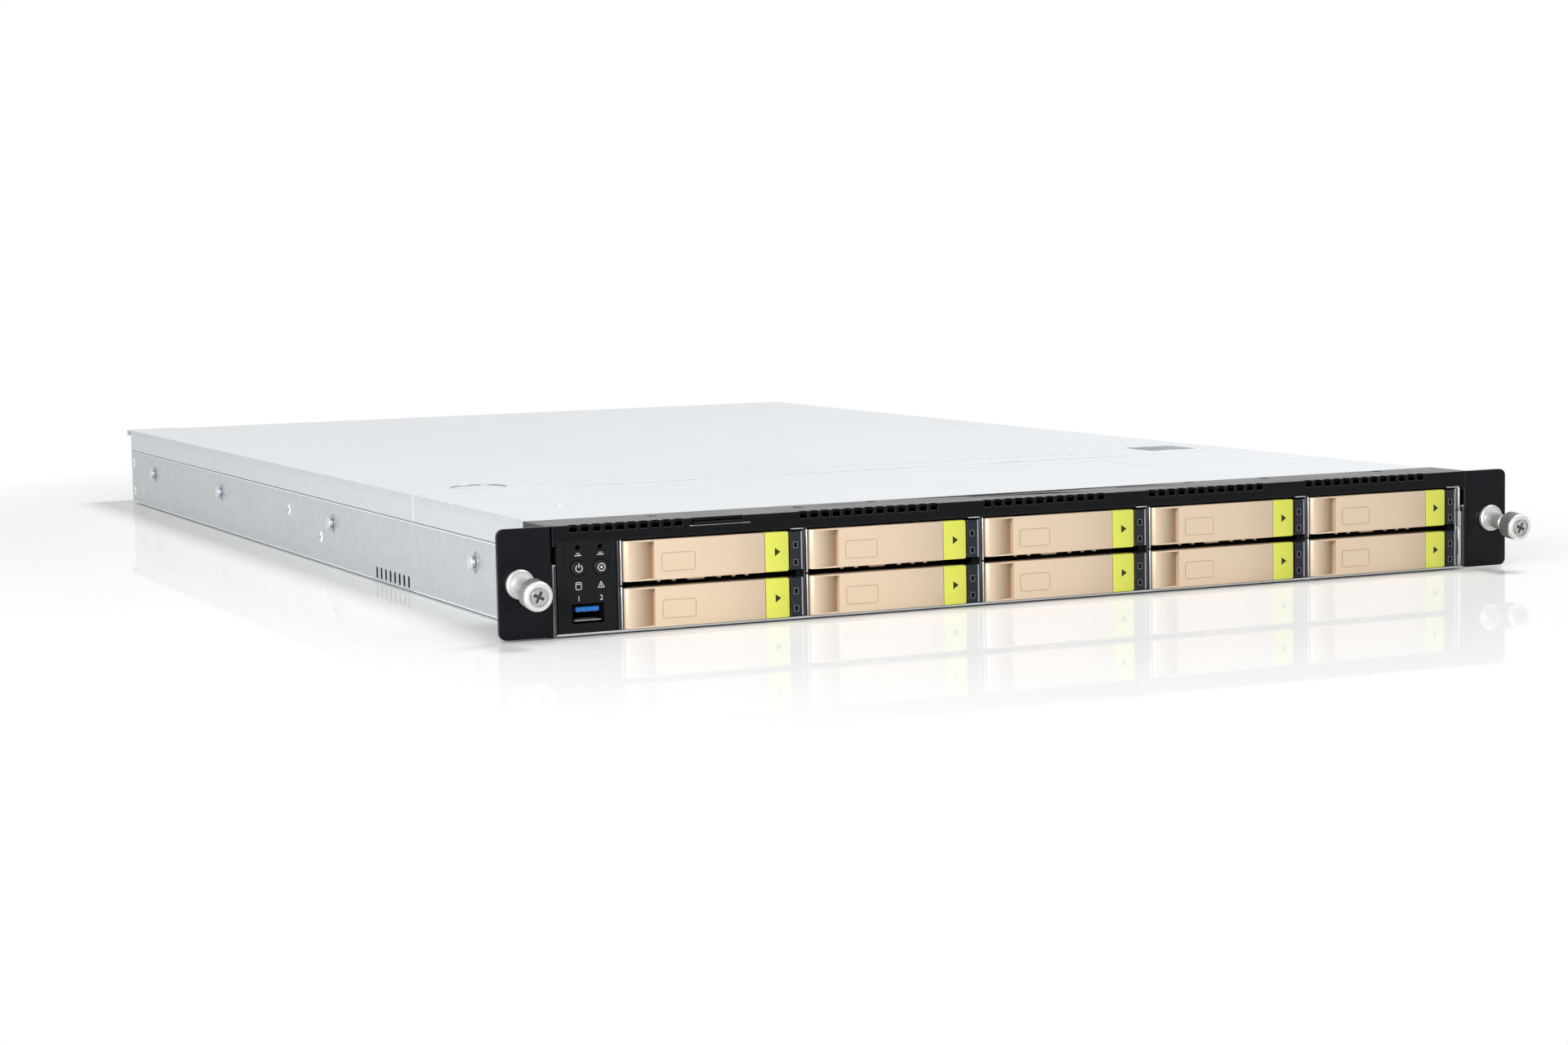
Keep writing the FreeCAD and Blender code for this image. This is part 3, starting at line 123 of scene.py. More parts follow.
def ranged(tree, value, low, high, start=0.0, end=1.0):
    """A value carried from start..end to low..high."""
    return put(tree, "MapRange", {
        "Value": value, "From Min": start, "From Max": end, "To Min": low, "To Max": high}).outputs[0]


def object_place(tree):
    """Where a point is on its own object."""
    return put(tree, "TexCoord").outputs["Object"]


def along(tree, vector, axis):
    """How far a vector goes along one axis."""
    return put(tree, "SeparateXYZ", {0: vector}).outputs[axis]


def opaque(colour, strength=1.0):
    """A colour with its alpha, dimmed by a strength below 1."""
    return (*(channel * strength for channel in colour), 1.0)


def effect(name, inputs, outputs):
    """A shader group with named number inputs and outputs, and the sockets at its two ends."""
    group = bpy.data.node_groups.new(name, "ShaderNodeTree")
    for label, start in inputs.items():
        group.interface.new_socket(label, in_out="INPUT", socket_type="NodeSocketFloat").default_value = start
    for label, kind in outputs.items():
        group.interface.new_socket(label, in_out="OUTPUT", socket_type=f"NodeSocket{kind}")
    return group, group.nodes.new("NodeGroupInput").outputs, group.nodes.new("NodeGroupOutput").inputs


def rounded_edges():
    """Normal that rounds every edge a little, and a mask that is 1 along the edges."""
    group, given, out = effect("rounded edges", {"Radius": 0.0003}, {"Normal": "Vector", "Edge": "Float"})
    bevel = put(group, "Bevel", {"Radius": given["Radius"]}, samples=6).outputs[0]
    flat = put(group, "NewGeometry").outputs["Normal"]
    agree = put(group, "VectorMath", {0: bevel, 1: flat}, operation="DOT_PRODUCT").outputs["Value"]
    at_edge, on_face = 0.72, 0.97
    feed(group, bevel, out["Normal"])
    feed(group, ranged(group, agree, 1.0, 0.0, at_edge, on_face), out["Edge"])
    return group


def fine_grain():
    """Small irregular grain: its height and a shade that follows it."""
    group, given, out = effect("fine grain", {"Scale": 900.0, "Contrast": 0.5},
                               {"Height": "Float", "Shade": "Float"})
    coarse = put(group, "TexNoise", {
        "Vector": object_place(group), "Scale": given["Scale"], "Detail": 3.0, "Roughness": 0.6}).outputs[0]
    half = maths(group, "MULTIPLY", given["Contrast"], 0.5)
    low = maths(group, "SUBTRACT", 0.5, half)
    high = maths(group, "ADD", 0.5, half)
    feed(group, coarse, out["Height"])
    feed(group, ranged(group, coarse, low, high, 0.3, 0.7), out["Shade"])
    return group


def zinc_spangle():
    """Crystal patches of a hot-dip zinc coat, as a shade from 0 to 1."""
    group, given, out = effect("zinc spangle", {"Scale": 160.0, "Softness": 0.35}, {"Shade": "Float"})
    place = object_place(group)
    drift = put(group, "TexNoise", {"Vector": place, "Scale": 70.0, "Detail": 2.0}).outputs["Color"]
    bent = put(group, "VectorMath", {0: drift, 1: (0.006,) * 3}, operation="MULTIPLY").outputs[0]
    moved = put(group, "VectorMath", {0: place, 1: bent}, operation="ADD").outputs[0]
    cells = put(group, "TexVoronoi", {"Vector": moved, "Scale": given["Scale"]}).outputs["Color"]
    patch = put(group, "SeparateColor", {"Color": cells}).outputs[0]
    cloud = put(group, "TexNoise", {"Vector": place, "Scale": 38.0, "Detail": 4.0, "Roughness": 0.65})
    soft = put(group, "Mix", {0: given["Softness"], 2: patch, 3: cloud.outputs[0]})
    feed(group, soft.outputs[0], out["Shade"])
    return group


def handling_marks():
    """Broad soft patches left by hands and cloths, as a shade from 0 to 1."""
    group, given, out = effect("handling marks", {"Scale": 14.0}, {"Shade": "Float"})
    broad = put(group, "TexNoise", {
        "Vector": object_place(group), "Scale": given["Scale"], "Detail": 5.0, "Roughness": 0.7,
        "Distortion": 0.6}).outputs[0]
    feed(group, ranged(group, broad, 0.0, 1.0, 0.32, 0.68), out["Shade"])
    return group


def fold_streaks():
    """Fine upright streaks that a bend leaves in the zinc, as a shade that fades away below the fold."""
    group, given, out = effect("fold streaks", {"Fold": 0.0435, "Reach": 0.005}, {"Shade": "Float"})
    place = object_place(group)
    drawn = put(group, "Mapping", {"Vector": place, "Scale": (1.0, 1.0, 0.04)}).outputs[0]
    lines = put(group, "TexNoise", {"Vector": drawn, "Scale": 1700.0, "Detail": 2.0}).outputs[0]
    drop = maths(group, "SUBTRACT", given["Fold"], along(group, place, "Z"))
    near = ranged(group, maths(group, "DIVIDE", drop, given["Reach"]), 1.0, 0.0)
    feed(group, maths(group, "MULTIPLY", ranged(group, lines, 0.0, 1.0, 0.4, 0.62), near), out["Shade"])
    return group


EDGES, GRAIN, SPANGLE, MARKS = rounded_edges(), fine_grain(), zinc_spangle(), handling_marks()
STREAKS = fold_streaks()
ZINC = (260.0, 0.6)
ZINC_DARK, STREAK_DARK = 0.93, 0.84
UPRIGHT_TO_FLAT = (0.3, 0.7)
PAINTED_RIGHT_SHADE_RANGE = (0.09, 0.54)
HANDLED = 0.12
FINE, FIRM, SATIN, SHEET = (1500.0, 0.6), (1200.0, 0.5), (900.0, 0.4), (700.0, 0.4)


def place_effect(tree, group, **values):
    """A group in a material's tree, with its own values."""
    made = put(tree, "Group")
    made.node_tree = group
    for name, value in values.items():
        made.inputs[name].default_value = value
    return made.outputs


def finish(name, colour, shade, roughness, metallic=0.0, mottle=None, grain=(900.0, 0.5), bump=0.00004,
           edge=(0.0003, 0.35), rim=None, coat=0.0, specular=0.5, flank=None, painted_right_shade=None):
    """A finish whose colour runs between two tints, with grain, painted edge highlights and handled patches.

    An edge is the radius of the rounding and the strength of the painted edge highlight, and a rim is the
    colour of that highlight.  A flank is a second colour for upright faces, which carry fold streaks as well.
    A painted right shade is a darker tint painted where a face turns to the right, away from the light.
    """
    made = bpy.data.materials.new(name)
    made.use_nodes = True
    tree = made.node_tree
    shader = tree.nodes["Principled BSDF"].inputs
    grains = place_effect(tree, GRAIN, Scale=grain[0], Contrast=grain[1])
    pattern = grains["Shade"]
    if mottle:
        pattern = place_effect(tree, SPANGLE, Scale=mottle[0], Softness=mottle[1])["Shade"]
    rims = place_effect(tree, EDGES, Radius=edge[0])
    body = blended(tree, pattern, opaque(colour), opaque(shade))
    if flank:
        upward = ranged(tree, along(tree, put(tree, "NewGeometry").outputs["Normal"], "Z"), 0.0, 1.0,
                        *UPRIGHT_TO_FLAT)
        zinc = place_effect(tree, SPANGLE, Scale=ZINC[0], Softness=ZINC[1])["Shade"]
        side = blended(tree, zinc, opaque(flank, ZINC_DARK), opaque(flank))
        side = blended(tree, place_effect(tree, STREAKS)["Shade"], side, opaque(flank, STREAK_DARK))
        body = blended(tree, upward, side, body)
    # Painted shade: the colour darkens where a face turns to the right, away from the lamps.
    if painted_right_shade:
        tilt = along(tree, put(tree, "TexCoord").outputs["Normal"], "X")
        body = blended(tree, ranged(tree, tilt, 0.0, 1.0, *PAINTED_RIGHT_SHADE_RANGE), body, opaque(painted_right_shade))
    # The rim colour is a painted highlight, laid along the edges by the edge mask.
    edge_highlight = rim or [min(1.0, channel * 1.25 + 0.03) for channel in colour]
    feed(tree, blended(tree, maths(tree, "MULTIPLY", rims["Edge"], edge[1]), body, opaque(edge_highlight)),
         shader["Base Color"])
    patches = ranged(tree, place_effect(tree, MARKS)["Shade"], -HANDLED, HANDLED)
    rough = maths(tree, "MULTIPLY", maths(tree, "ADD", patches, 1.0), roughness, clamp=True)
    feed(tree, rough, shader["Roughness"])
    dent = put(tree, "Bump", {
        "Strength": 1.0, "Distance": bump, "Height": grains["Height"], "Normal": rims["Normal"]})
    feed(tree, dent.outputs[0], shader["Normal"])
    feed(tree, metallic, shader["Metallic"])
    feed(tree, coat, shader["Coat Weight"])
    feed(tree, specular, shader["Specular IOR Level"])
    return made


# Every rim colour below is a painted highlight along the edges, lighter than the finish itself.
finishes = {
    "side_steel": finish("galvanised steel", (0.49, 0.52, 0.54), (0.58, 0.61, 0.63), 0.46, 0.6, mottle=ZINC,
        grain=(420.0, 0.4), rim=(0.84, 0.86, 0.88), edge=(0.0005, 0.6)),
    "lid_steel": finish("satin lid steel", (0.63, 0.65, 0.67), (0.67, 0.69, 0.705), 0.5, 0.5,
        mottle=(90.0, 0.85), grain=(500.0, 0.3), bump=0.00001, rim=(0.9, 0.92, 0.94),
        edge=(0.0004, 0.5), flank=(0.66, 0.69, 0.71)),
    "bright_steel": finish("bright steel edge", (0.46, 0.47, 0.48), (0.56, 0.57, 0.58), 0.34, 0.9,
        grain=SHEET, rim=(0.85, 0.86, 0.87), edge=(0.0003, 0.6)),
    # Painted highlight: a near-white strip laid where an edge or a dimple catches the light.
    "highlight_rim": finish("sheet edge, painted highlight", (0.88, 0.90, 0.92), (0.93, 0.94, 0.95), 0.4, 0.3,
        grain=SHEET, edge=(0.0001, 0.0)),
    # Painted shade: near-black steel for hems and wall edges that sit in shade.
    "hem_shade_steel": finish("hem steel, painted shade", (0.04, 0.041, 0.043), (0.06, 0.061, 0.064), 0.34, 0.6,
        grain=SHEET, rim=(0.6, 0.61, 0.62), edge=(0.0002, 0.5), specular=0.15),
    # Painted shade: the cage's steel is made near-black where it sits in shade behind the drives.
    "cage_shade_steel": finish("shaded cage steel", (0.02, 0.021, 0.022), (0.03, 0.031, 0.033), 0.5, 0.6,
        mottle=ZINC, grain=(420.0, 0.4), rim=(0.16, 0.165, 0.17), edge=(0.0003, 0.6), specular=0.2),
    "powder_black": finish("black powder coat", (0.0022, 0.0027, 0.0045), (0.0055, 0.0062, 0.0085), 0.3,
        grain=(1500.0, 1.0), bump=0.0001, rim=(0.05, 0.052, 0.056), edge=(0.0004, 0.5),
        specular=0.13),
    "panel_black": finish("matt black moulding", (0.0055, 0.006, 0.007), (0.009, 0.0095, 0.011), 0.55,
        grain=(1700.0, 0.8), rim=(0.035, 0.036, 0.04), specular=0.12),
    "button_black": finish("button rubber", (0.006, 0.0062, 0.0075), (0.009, 0.0095, 0.011), 0.42,
        grain=FINE, bump=0.00001, specular=0.2),
    "strip_dark": finish("dark strip moulding", (0.014, 0.016, 0.021), (0.018, 0.021, 0.027), 0.5,
        grain=FINE, bump=0.00002, rim=(0.06, 0.066, 0.08), specular=0.2),
    "strip_line": finish("strip window line", (0.13, 0.135, 0.15), (0.15, 0.155, 0.17), 0.5, grain=FINE,
        specular=0.2),
    # The champagne's darker tint on right-facing faces is painted shade.
    "champagne": finish("champagne metallic", (0.685, 0.54, 0.395), (0.725, 0.575, 0.425), 0.44, 0.25,
        grain=(1900.0, 0.9), bump=0.00003, rim=(0.80, 0.66, 0.51), edge=(0.00018, 0.5),
        specular=0.4, painted_right_shade=(0.34, 0.25, 0.17)),
    # Painted light: the teeth are lighter than the handles' paint so that they show in the shaded gap.
    "tooth_painted_light": finish("sled tooth, painted light", (0.78, 0.63, 0.48), (0.82, 0.66, 0.50), 0.5, grain=FINE,
        specular=0.2),
    "lime": finish("lime moulding", (0.60, 0.625, 0.078), (0.64, 0.665, 0.10), 0.42, grain=(1500.0, 0.5),
        bump=0.00001, rim=(0.75, 0.77, 0.25), edge=(0.0003, 0.5), specular=0.4),
    "nickel": finish("nickel plate", (0.66, 0.66, 0.655), (0.72, 0.72, 0.715), 0.38, 0.8, grain=SATIN,
        bump=0.00001, rim=(0.9, 0.9, 0.89), edge=(0.0002, 0.7)),
    # Painted sheen: the top takes a lighter grey than the upright faces, whose flank colour is the coat's own
    # black.
    "hood_black": finish("black coat, painted sheen on top", (0.07, 0.071, 0.073), (0.11, 0.111, 0.114), 0.34,
        grain=(1500.0, 1.0), bump=0.00006, rim=(0.16, 0.165, 0.17), edge=(0.0003, 0.6),
        specular=0.13, flank=(0.0025, 0.003, 0.0045)),
    # Painted shade: the knurled grip is a darker copy of the nickel, standing for the shade in its grooves.
    "knurl_shade_metal": finish("knurled nickel, painted shade", (0.38, 0.38, 0.375), (0.44, 0.44, 0.435), 0.34, 0.9, grain=SATIN,
        rim=(0.92, 0.92, 0.91), edge=(0.00012, 0.8)),
    # Painted shade: darker blue-grey than the wall, standing for the shading on pressed swellings and the
    # dish wall.
    "swelling_shade_steel": finish("pressed steel, painted shade", (0.30, 0.35, 0.39), (0.38, 0.43, 0.47), 0.3, 0.9,
        grain=SATIN, rim=(0.80, 0.84, 0.87), edge=(0.0004, 0.5)),
    # Painted shadow: a dark grey strip laid on the wall under the lid's seam.
    "seam_shadow": finish("shadowed seam", (0.17, 0.18, 0.19), (0.22, 0.23, 0.24), 0.7, grain=(500.0, 0.4)),
    "stud_metal": finish("dull stud metal", (0.62, 0.65, 0.67), (0.70, 0.73, 0.75), 0.36, 0.7, grain=SATIN,
        bump=0.00001, rim=(0.75, 0.75, 0.74), edge=(0.0002, 0.6)),
    "screw_steel": finish("screw steel", (0.40, 0.40, 0.41), (0.5, 0.5, 0.51), 0.35, 0.9, grain=FIRM),
    "screw_black": finish("black screw head", (0.01, 0.01, 0.012), (0.02, 0.02, 0.022), 0.3, 0.4,
        grain=FIRM, rim=(0.5, 0.5, 0.5), edge=(0.0002, 1.0)),
    # Painted shade: dark brown for the floors of slots and the cores of dimples, where shade falls.
    "slot_shade": finish("shaded slot", (0.055, 0.048, 0.042), (0.075, 0.066, 0.058), 0.5, 0.3, grain=FIRM),
    "void_black": finish("deep black", (0.002, 0.002, 0.0025), (0.004, 0.004, 0.005), 0.9, edge=(0.0002, 0.0),
        specular=0.05),
    "print_pale": finish("pale print", (0.56, 0.57, 0.59), (0.62, 0.63, 0.65), 0.6, grain=FINE,
        edge=(0.0001, 0.0)),
    "print_dark": finish("dark arrow print", (0.018, 0.02, 0.008), (0.026, 0.028, 0.012), 0.5,
        grain=FINE, specular=0.2),
    "tongue_blue": finish("blue tongue", (0.0, 0.13, 0.52), (0.0, 0.17, 0.6), 0.4, grain=FIRM),
    "gold": finish("gilt contact", (0.75, 0.52, 0.20), (0.82, 0.6, 0.28), 0.3, 1.0, grain=FIRM),
    "board_green": finish("green solder mask", (0.012, 0.085, 0.035), (0.02, 0.13, 0.055), 0.38,
        mottle=(420.0, 0.2), grain=(800.0, 0.6), coat=0.4),
    "fan_black": finish("fan moulding", (0.012, 0.012, 0.013), (0.02, 0.02, 0.022), 0.5, grain=(1100.0, 0.6)),
    "fin_metal": finish("fin metal", (0.62, 0.63, 0.65), (0.7, 0.71, 0.73), 0.35, 1.0, grain=(600.0, 0.5)),
    "sled_metal": finish("sled metal", (0.30, 0.31, 0.32), (0.38, 0.39, 0.40), 0.42, 0.9,
        mottle=(200.0, 0.5)),
    "supply_case": finish("supply casing", (0.50, 0.52, 0.54), (0.60, 0.62, 0.63), 0.42, 0.85,
        mottle=(200.0, 0.5)),
    "socket_metal": finish("socket metal", (0.42, 0.42, 0.43), (0.5, 0.5, 0.51), 0.32, 1.0, grain=SATIN),
}
NODE_FINISHES = {
    "side_steel": ("base_pan", "rear_panel"),
    "lid_steel": ("front_cover", "rear_cover"),
    "powder_black": ("cover_latch", "bezel_hood", "info_tag", "ear_"),
    "stud_metal": ("rail_studs",),
    "panel_black": ("control_panel",),
    "button_black": ("power_button", "locate_button"),
    "nickel": ("thumbscrew", "front_io_board"),
    "champagne": ("handle",),
    "lime": ("latch", "supply_latch"),
    "sled_metal": ("carrier",),
    "cage_shade_steel": ("drive_cage",),
    "board_green": ("backplane", "motherboard"),
    "fan_black": ("fan_frames", "fan_rotor"),
    "fin_metal": ("heatsink",),
    "socket_metal": ("rear_sockets",),
    "supply_case": ("power_supply",),
}


def node_finish(name):
    """The finish of a node, found by the start of its name."""
    return finishes[next(key for key, starts in NODE_FINISHES.items() if name.startswith(starts))]


for node_name, node in nodes.items():
    node.data.materials.clear()
    node.data.materials.append(node_finish(node_name))


# ---------------- mesh helpers, drawn in millimetres
PLANES = {"XZ": ((0, 2), 1), "XY": ((0, 1), 2), "YZ": ((1, 2), 0)}
UP, BACK = (0, 0, 1), (0, 1, 0)
INK = 0.03


def placed(name, data):
    """A new object in the scene."""
    made = bpy.data.objects.new(name, data)
    scene.collection.objects.link(made)
    return made


def mesh_piece(name, points, faces):
    """A new mesh object from points in millimetres."""
    mesh = bpy.data.meshes.new(name)
    mesh.from_pydata([tuple(value * MM for value in point) for point in points], [], faces)
    mesh.update()
    sorted_out = bmesh.new()
    sorted_out.from_mesh(mesh)
    bmesh.ops.recalc_face_normals(sorted_out, faces=sorted_out.faces)
    sorted_out.to_mesh(mesh)
    sorted_out.free()
    return placed(name, mesh)


def slab(name, outline, plane, start, end):
    """An outline in a plane, carried from start to end along the third direction."""
    (first, second), third = PLANES[plane]
    points = []
    for level in (start, end):
        for x, y in outline:
            point = [0.0, 0.0, 0.0]
            point[first], point[second], point[third] = x, y, level
            points.append(point)
    count = len(outline)
    sides = [(i, (i + 1) % count, (i + 1) % count + count, i + count) for i in range(count)]
    return mesh_piece(name, points, [tuple(range(count)), tuple(range(count, 2 * count)), *sides])


def arc(x, y, radius, start, end, steps=6, tall=None):
    """Points of an arc, in degrees; tall is its radius upwards where it is part of an oval."""
    turns = [math.radians(start + (end - start) * step / steps) for step in range(steps + 1)]
    return [(x + radius * math.cos(turn), y + (tall or radius) * math.sin(turn)) for turn in turns]


def oblong(x0, x1, y0, y1):
    """Outline of a rectangle."""
    return [(x0, y0), (x1, y0), (x1, y1), (x0, y1)]


def rounded_box(x0, x1, y0, y1, radius):
    """Outline of a rectangle with round corners."""
    left, right, bottom, top = x0 + radius, x1 - radius, y0 + radius, y1 - radius
    return [*arc(right, bottom, radius, -90, 0, 5), *arc(right, top, radius, 0, 90, 5),
            *arc(left, top, radius, 90, 180, 5), *arc(left, bottom, radius, 180, 270, 5)]


def about(x, y, across, up):
    """The four sides of a rectangle about a middle."""
    return x - across, x + across, y - up, y + up


def band_faces(rings, count):
    """Faces between rings of points, and a face over each end."""
    faces = []
    for low in range(0, (rings - 1) * count, count):
        for step in range(count):
            following = (step + 1) % count
            faces.append((low + step, low + following, low + count + following, low + count + step))
    last = (rings - 1) * count
    return [*faces, tuple(range(count)), tuple(range(last, last + count))]


def raised(base, profile):
    """A profile of radii and distances, with the distances counted from a base."""
    return [(radius, base + height) for radius, height in profile]


RIDGE_EVERY, RIDGE_DEPTH = 3, 0.93


def turned(name, profile, at, axis=(0, -1, 0), steps=48, ridges=()):
    """A profile of radii and distances turned about an axis; rings named in ridges are knurled."""
    points = []
    turn = Vector(axis).to_track_quat("Z", "Y")
    for ring, (radius, height) in enumerate(profile):
        for step in range(steps):
            angle = 2 * math.pi * step / steps
            depth = RIDGE_DEPTH if ring in ridges and step % RIDGE_EVERY == 0 else 1.0
            spot = Vector((radius * depth * math.cos(angle), radius * depth * math.sin(angle), height))
            points.append(turn @ spot + Vector(at))
    return mesh_piece(name, points, band_faces(len(profile), steps))


def ribbon(name, path, width, y, closed=False):
    """A printed line of even width on an upright face, following points in X and Z."""
    points, faces = [], []
    count = len(path)
    for index, (x, z) in enumerate(path):
        before = path[index - 1] if closed or index else path[0]
        after = path[(index + 1) % count] if closed or index < count - 1 else path[-1]
        ahead = Vector((after[0] - before[0], after[1] - before[1])).normalized()
        side = Vector((-ahead.y, ahead.x)) * width / 2
        points += [(x + side.x, y, z + side.y), (x - side.x, y, z - side.y)]
    for index in range(count if closed else count - 1):
        a, b = index * 2, (index + 1) % count * 2
        faces.append((a, a + 1, b + 1, b))
    made = mesh_piece(name, points, faces)
    thick = made.modifiers.new("thickness", "SOLIDIFY")
    thick.thickness, thick.offset = 0.03 * MM, 0.0
    return apply_modifiers(made)


def apply_modifiers(made):
    """Turn the shape that the modifiers give into the object's own mesh."""
    shown = made.evaluated_get(bpy.context.evaluated_depsgraph_get())
    mesh = bpy.data.meshes.new_from_object(shown)
    made.modifiers.clear()
    made.data = mesh
    return made


def carve(made, cutter):
    """Cut one closed mesh out of another."""
    cut = made.modifiers.new("carve", "BOOLEAN")
    cut.object, cut.operation, cut.solver = cutter, "DIFFERENCE", "EXACT"
    apply_modifiers(made)
    bpy.data.objects.remove(cutter)
    return made


def soften(made, width=0.3):
    """Round the sharp edges."""
    round_off = made.modifiers.new("rounding", "BEVEL")
    round_off.width, round_off.segments = width * MM, 2
    round_off.angle_limit = math.radians(40)
    return apply_modifiers(made)


def joined(name, pieces):
    """Several meshes as one object."""
    whole = bmesh.new()
    for piece in pieces:
        piece.data.transform(piece.matrix_world)
        whole.from_mesh(piece.data)
        bpy.data.objects.remove(piece)
    mesh = bpy.data.meshes.new(name)
    whole.to_mesh(mesh)
    whole.free()
    return placed(name, mesh)


def dress(made, finish_name, body=CHASSIS, smooth=32):
    """Give a piece its finish, smooth shading and a body to ride on."""
    made.data.materials.clear()
    made.data.materials.append(finishes[finish_name])
    made.data.shade_smooth()
    made.data.set_sharp_from_angle(angle=math.radians(smooth))
    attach(made, body)
    return made


def open_frame(outer, inner, start, end):
    """An upright frame between two outlines."""
    return carve(slab("rim", outer, "XZ", start, end), slab("rim_hole", inner, "XZ", start - 1.8, end + 1.8))


def copy_of(made, name, shift):
    """A copy of a mesh piece, moved by a distance in millimetres."""
    mesh = made.data.copy()
    mesh.transform(Matrix.Translation(Vector(shift) * MM))
    return placed(name, mesh)


def bar_across(plane, half_long, half_wide, start, end, angle, at):
    """A bar in a plane, turned in that plane about its middle and then moved."""
    made = slab("bar", oblong(*about(0.0, 0.0, half_long, half_wide)), plane, start, end)
    made.data.transform(Matrix.Rotation(math.radians(angle), 4, "XYZ"[PLANES[plane][1]]))
    made.data.transform(Matrix.Translation(Vector(at) * MM))
    return made


# ---------------- drive modules
BAYS = [f"{index:02d}" for index in range(1, 11)]
UPPER_BAYS = BAYS[1::2]
SCOOP_LEFT, SCOOP_RIGHT, SCOOP_DEPTH, SCOOP_RIM = 1.2, 13.1, 4.2, 0.6
FIELD_LEFT, FIELD_BOTTOM, FIELD_WIDE, FIELD_TALL, FIELD_LINE = 16.1, 3.15, 14.6, 7.6, 0.36
STRIP_LEFT, STRIP_WIDE = 72.9, 4.3
LIGHT_LEVELS = (3.1, 10.2)
# Each tooth has its start along the handle and its width.
TEETH = ((16.0, 1.9), (22.3, 2.2), (29.0, 8.0), (42.0, 2.3), (48.4, 2.2), (54.2, 2.2))


def handle_mesh(low, high):
    """Handle bar with a rounded hinge end, a finger scoop and the groove of a label field."""
    x, y, z = low
    length, thick, tall = high - low
    half = thick / 2
    round_end = arc(x + half, y + half, half, 270, 90, 12)
    plan = [(x + length, y), (x + length, y + thick), *reversed(round_end)]
    bar = slab("handle_bar", plan, "XY", z, z + tall)
    left, right = x + SCOOP_LEFT, x + SCOOP_RIGHT
    shares = [step / 14 for step in range(1, 15)]
    hollow = [(left + (right + 1.0 - left) * share, y + SCOOP_DEPTH * share ** 2) for share in shares]
    scoop = [(left, y - 1), (right, y - 1), (right, y), *reversed(hollow), (left, y)]
    carve(bar, slab("scoop", scoop, "XY", z + SCOOP_RIM, z + tall - SCOOP_RIM))
    soften(bar, 0.28)
    left, bottom = x + FIELD_LEFT, z + FIELD_BOTTOM
    outer = rounded_box(left, left + FIELD_WIDE, bottom, bottom + FIELD_TALL, 1.2)
    inner = rounded_box(left + FIELD_LINE, left + FIELD_WIDE - FIELD_LINE,
                        bottom + FIELD_LINE, bottom + FIELD_TALL - FIELD_LINE, 0.85)
    return carve(bar, open_frame(outer, inner, y - 0.2, y + 0.3))


def latch_mesh(low, high):
    """Push catch with its right corners rounded."""
    x, y, z = low
    right, top, radius = high.x, high.z, 0.9
    outline = [(x, z), *arc(right - radius, z + radius, radius, -90, 0, 5),
               *arc(right - radius, top - radius, radius, 0, 90, 5), (x, top)]
    return soften(slab("catch", outline, "XZ", y, y + 4.0))


def light_strip(left, y, z, tall):
    """Upright strip beside a catch, the frames of its two windows and the lenses in them."""
    strip = soften(slab("strip", rounded_box(left, left + STRIP_WIDE, z + 0.3, z + tall - 0.3, 0.3), "XZ",
                        y + 0.75, y + 5.0), 0.15)
    frames, lenses = [], []
    for level in LIGHT_LEVELS:
        x0, x1, z0, z1 = left + 1.1, left + 3.2, z + level - 1.2, z + level + 1.5
        inner = rounded_box(x0 + 0.3, x1 - 0.3, z0 + 0.3, z1 - 0.3, 0.2)
        frames.append(open_frame(rounded_box(x0, x1, z0, z1, 0.3), inner, y + 0.66, y + 0.95))
        outline = rounded_box(x0 + 0.35, x1 - 0.35, z0 + 0.35, z1 - 0.35, 0.2)
        lenses.append(soften(slab("lens", outline, "XZ", y + 0.7, y + 0.95), 0.05))
    return strip, joined("windows", frames), joined("lenses", lenses)


def tooth(left, right, y, z):
    """Tooth that hangs below the sled of an upper bay, narrower at its foot."""
    bottom, top = z - 1.35, z + 0.1
    outline = [(left + 0.4, bottom), (right - 0.4, bottom), (right, top), (left, top)]
    return soften(slab("tooth", outline, "XZ", y + 5.4, y + 6.2), 0.1)


def drive_modules():
    """The handle, catch, light strip and sled of every bay, copied from the first."""
    first_low, first_high = corners("handle_01")
    x, y, z = first_low
    tall = first_high.z - z
    handle, latch = handle_mesh(first_low, first_high), latch_mesh(*corners("latch_01"))
    strip, windows, lenses = light_strip(x + STRIP_LEFT, y, z, tall)
    teeth = joined("teeth", [tooth(x + start, x + start + wide, y, z) for start, wide in TEETH])
    tail, tip, level = middle("latch_01").x - 1.05, middle("latch_01").x + 1.45, z + tall / 2
    arrow = slab("arrow", [(tail, level - 1.7), (tip, level), (tail, level + 1.7)], "XZ", y - INK, y + 0.2)
    patterns = (
        (handle, "handle_bar", "champagne", "champagne", "handle"),
        (latch, "catch", "lime", "lime", "latch"),
        (arrow, "arrow", "print_dark", PLASTIC, "latch"),
        (strip, "light_strip", "strip_dark", PLASTIC, "carrier"),
        (windows, "light_windows", "strip_line", PLASTIC, "carrier"),
        (lenses, "light_lenses", "void_black", PLASTIC, "carrier"),
        (teeth, "sled_teeth", "tooth_painted_light", "champagne", "carrier"))
    for bay in BAYS:
        shift = corners(f"handle_{bay}")[0] - first_low
        for pattern, name, finish_name, slot, body in patterns:
            if pattern is teeth and bay not in UPPER_BAYS:
                continue
            made = dress(copy_of(pattern, f"{name}_{bay}", shift), finish_name, f"{body}_{bay}")
            if pattern in (handle, latch):
                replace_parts(made, f"{body}_{bay}")
    for pattern, *_ in patterns:
        bpy.data.objects.remove(pattern)


# ---------------- thumbscrews and ears
DROOP = math.radians(6.5)
DROOP_SHIFT = Vector((0, 0.42, -0.3)) * MM
GRIP_START, GRIP_END = 8.6, 1.6
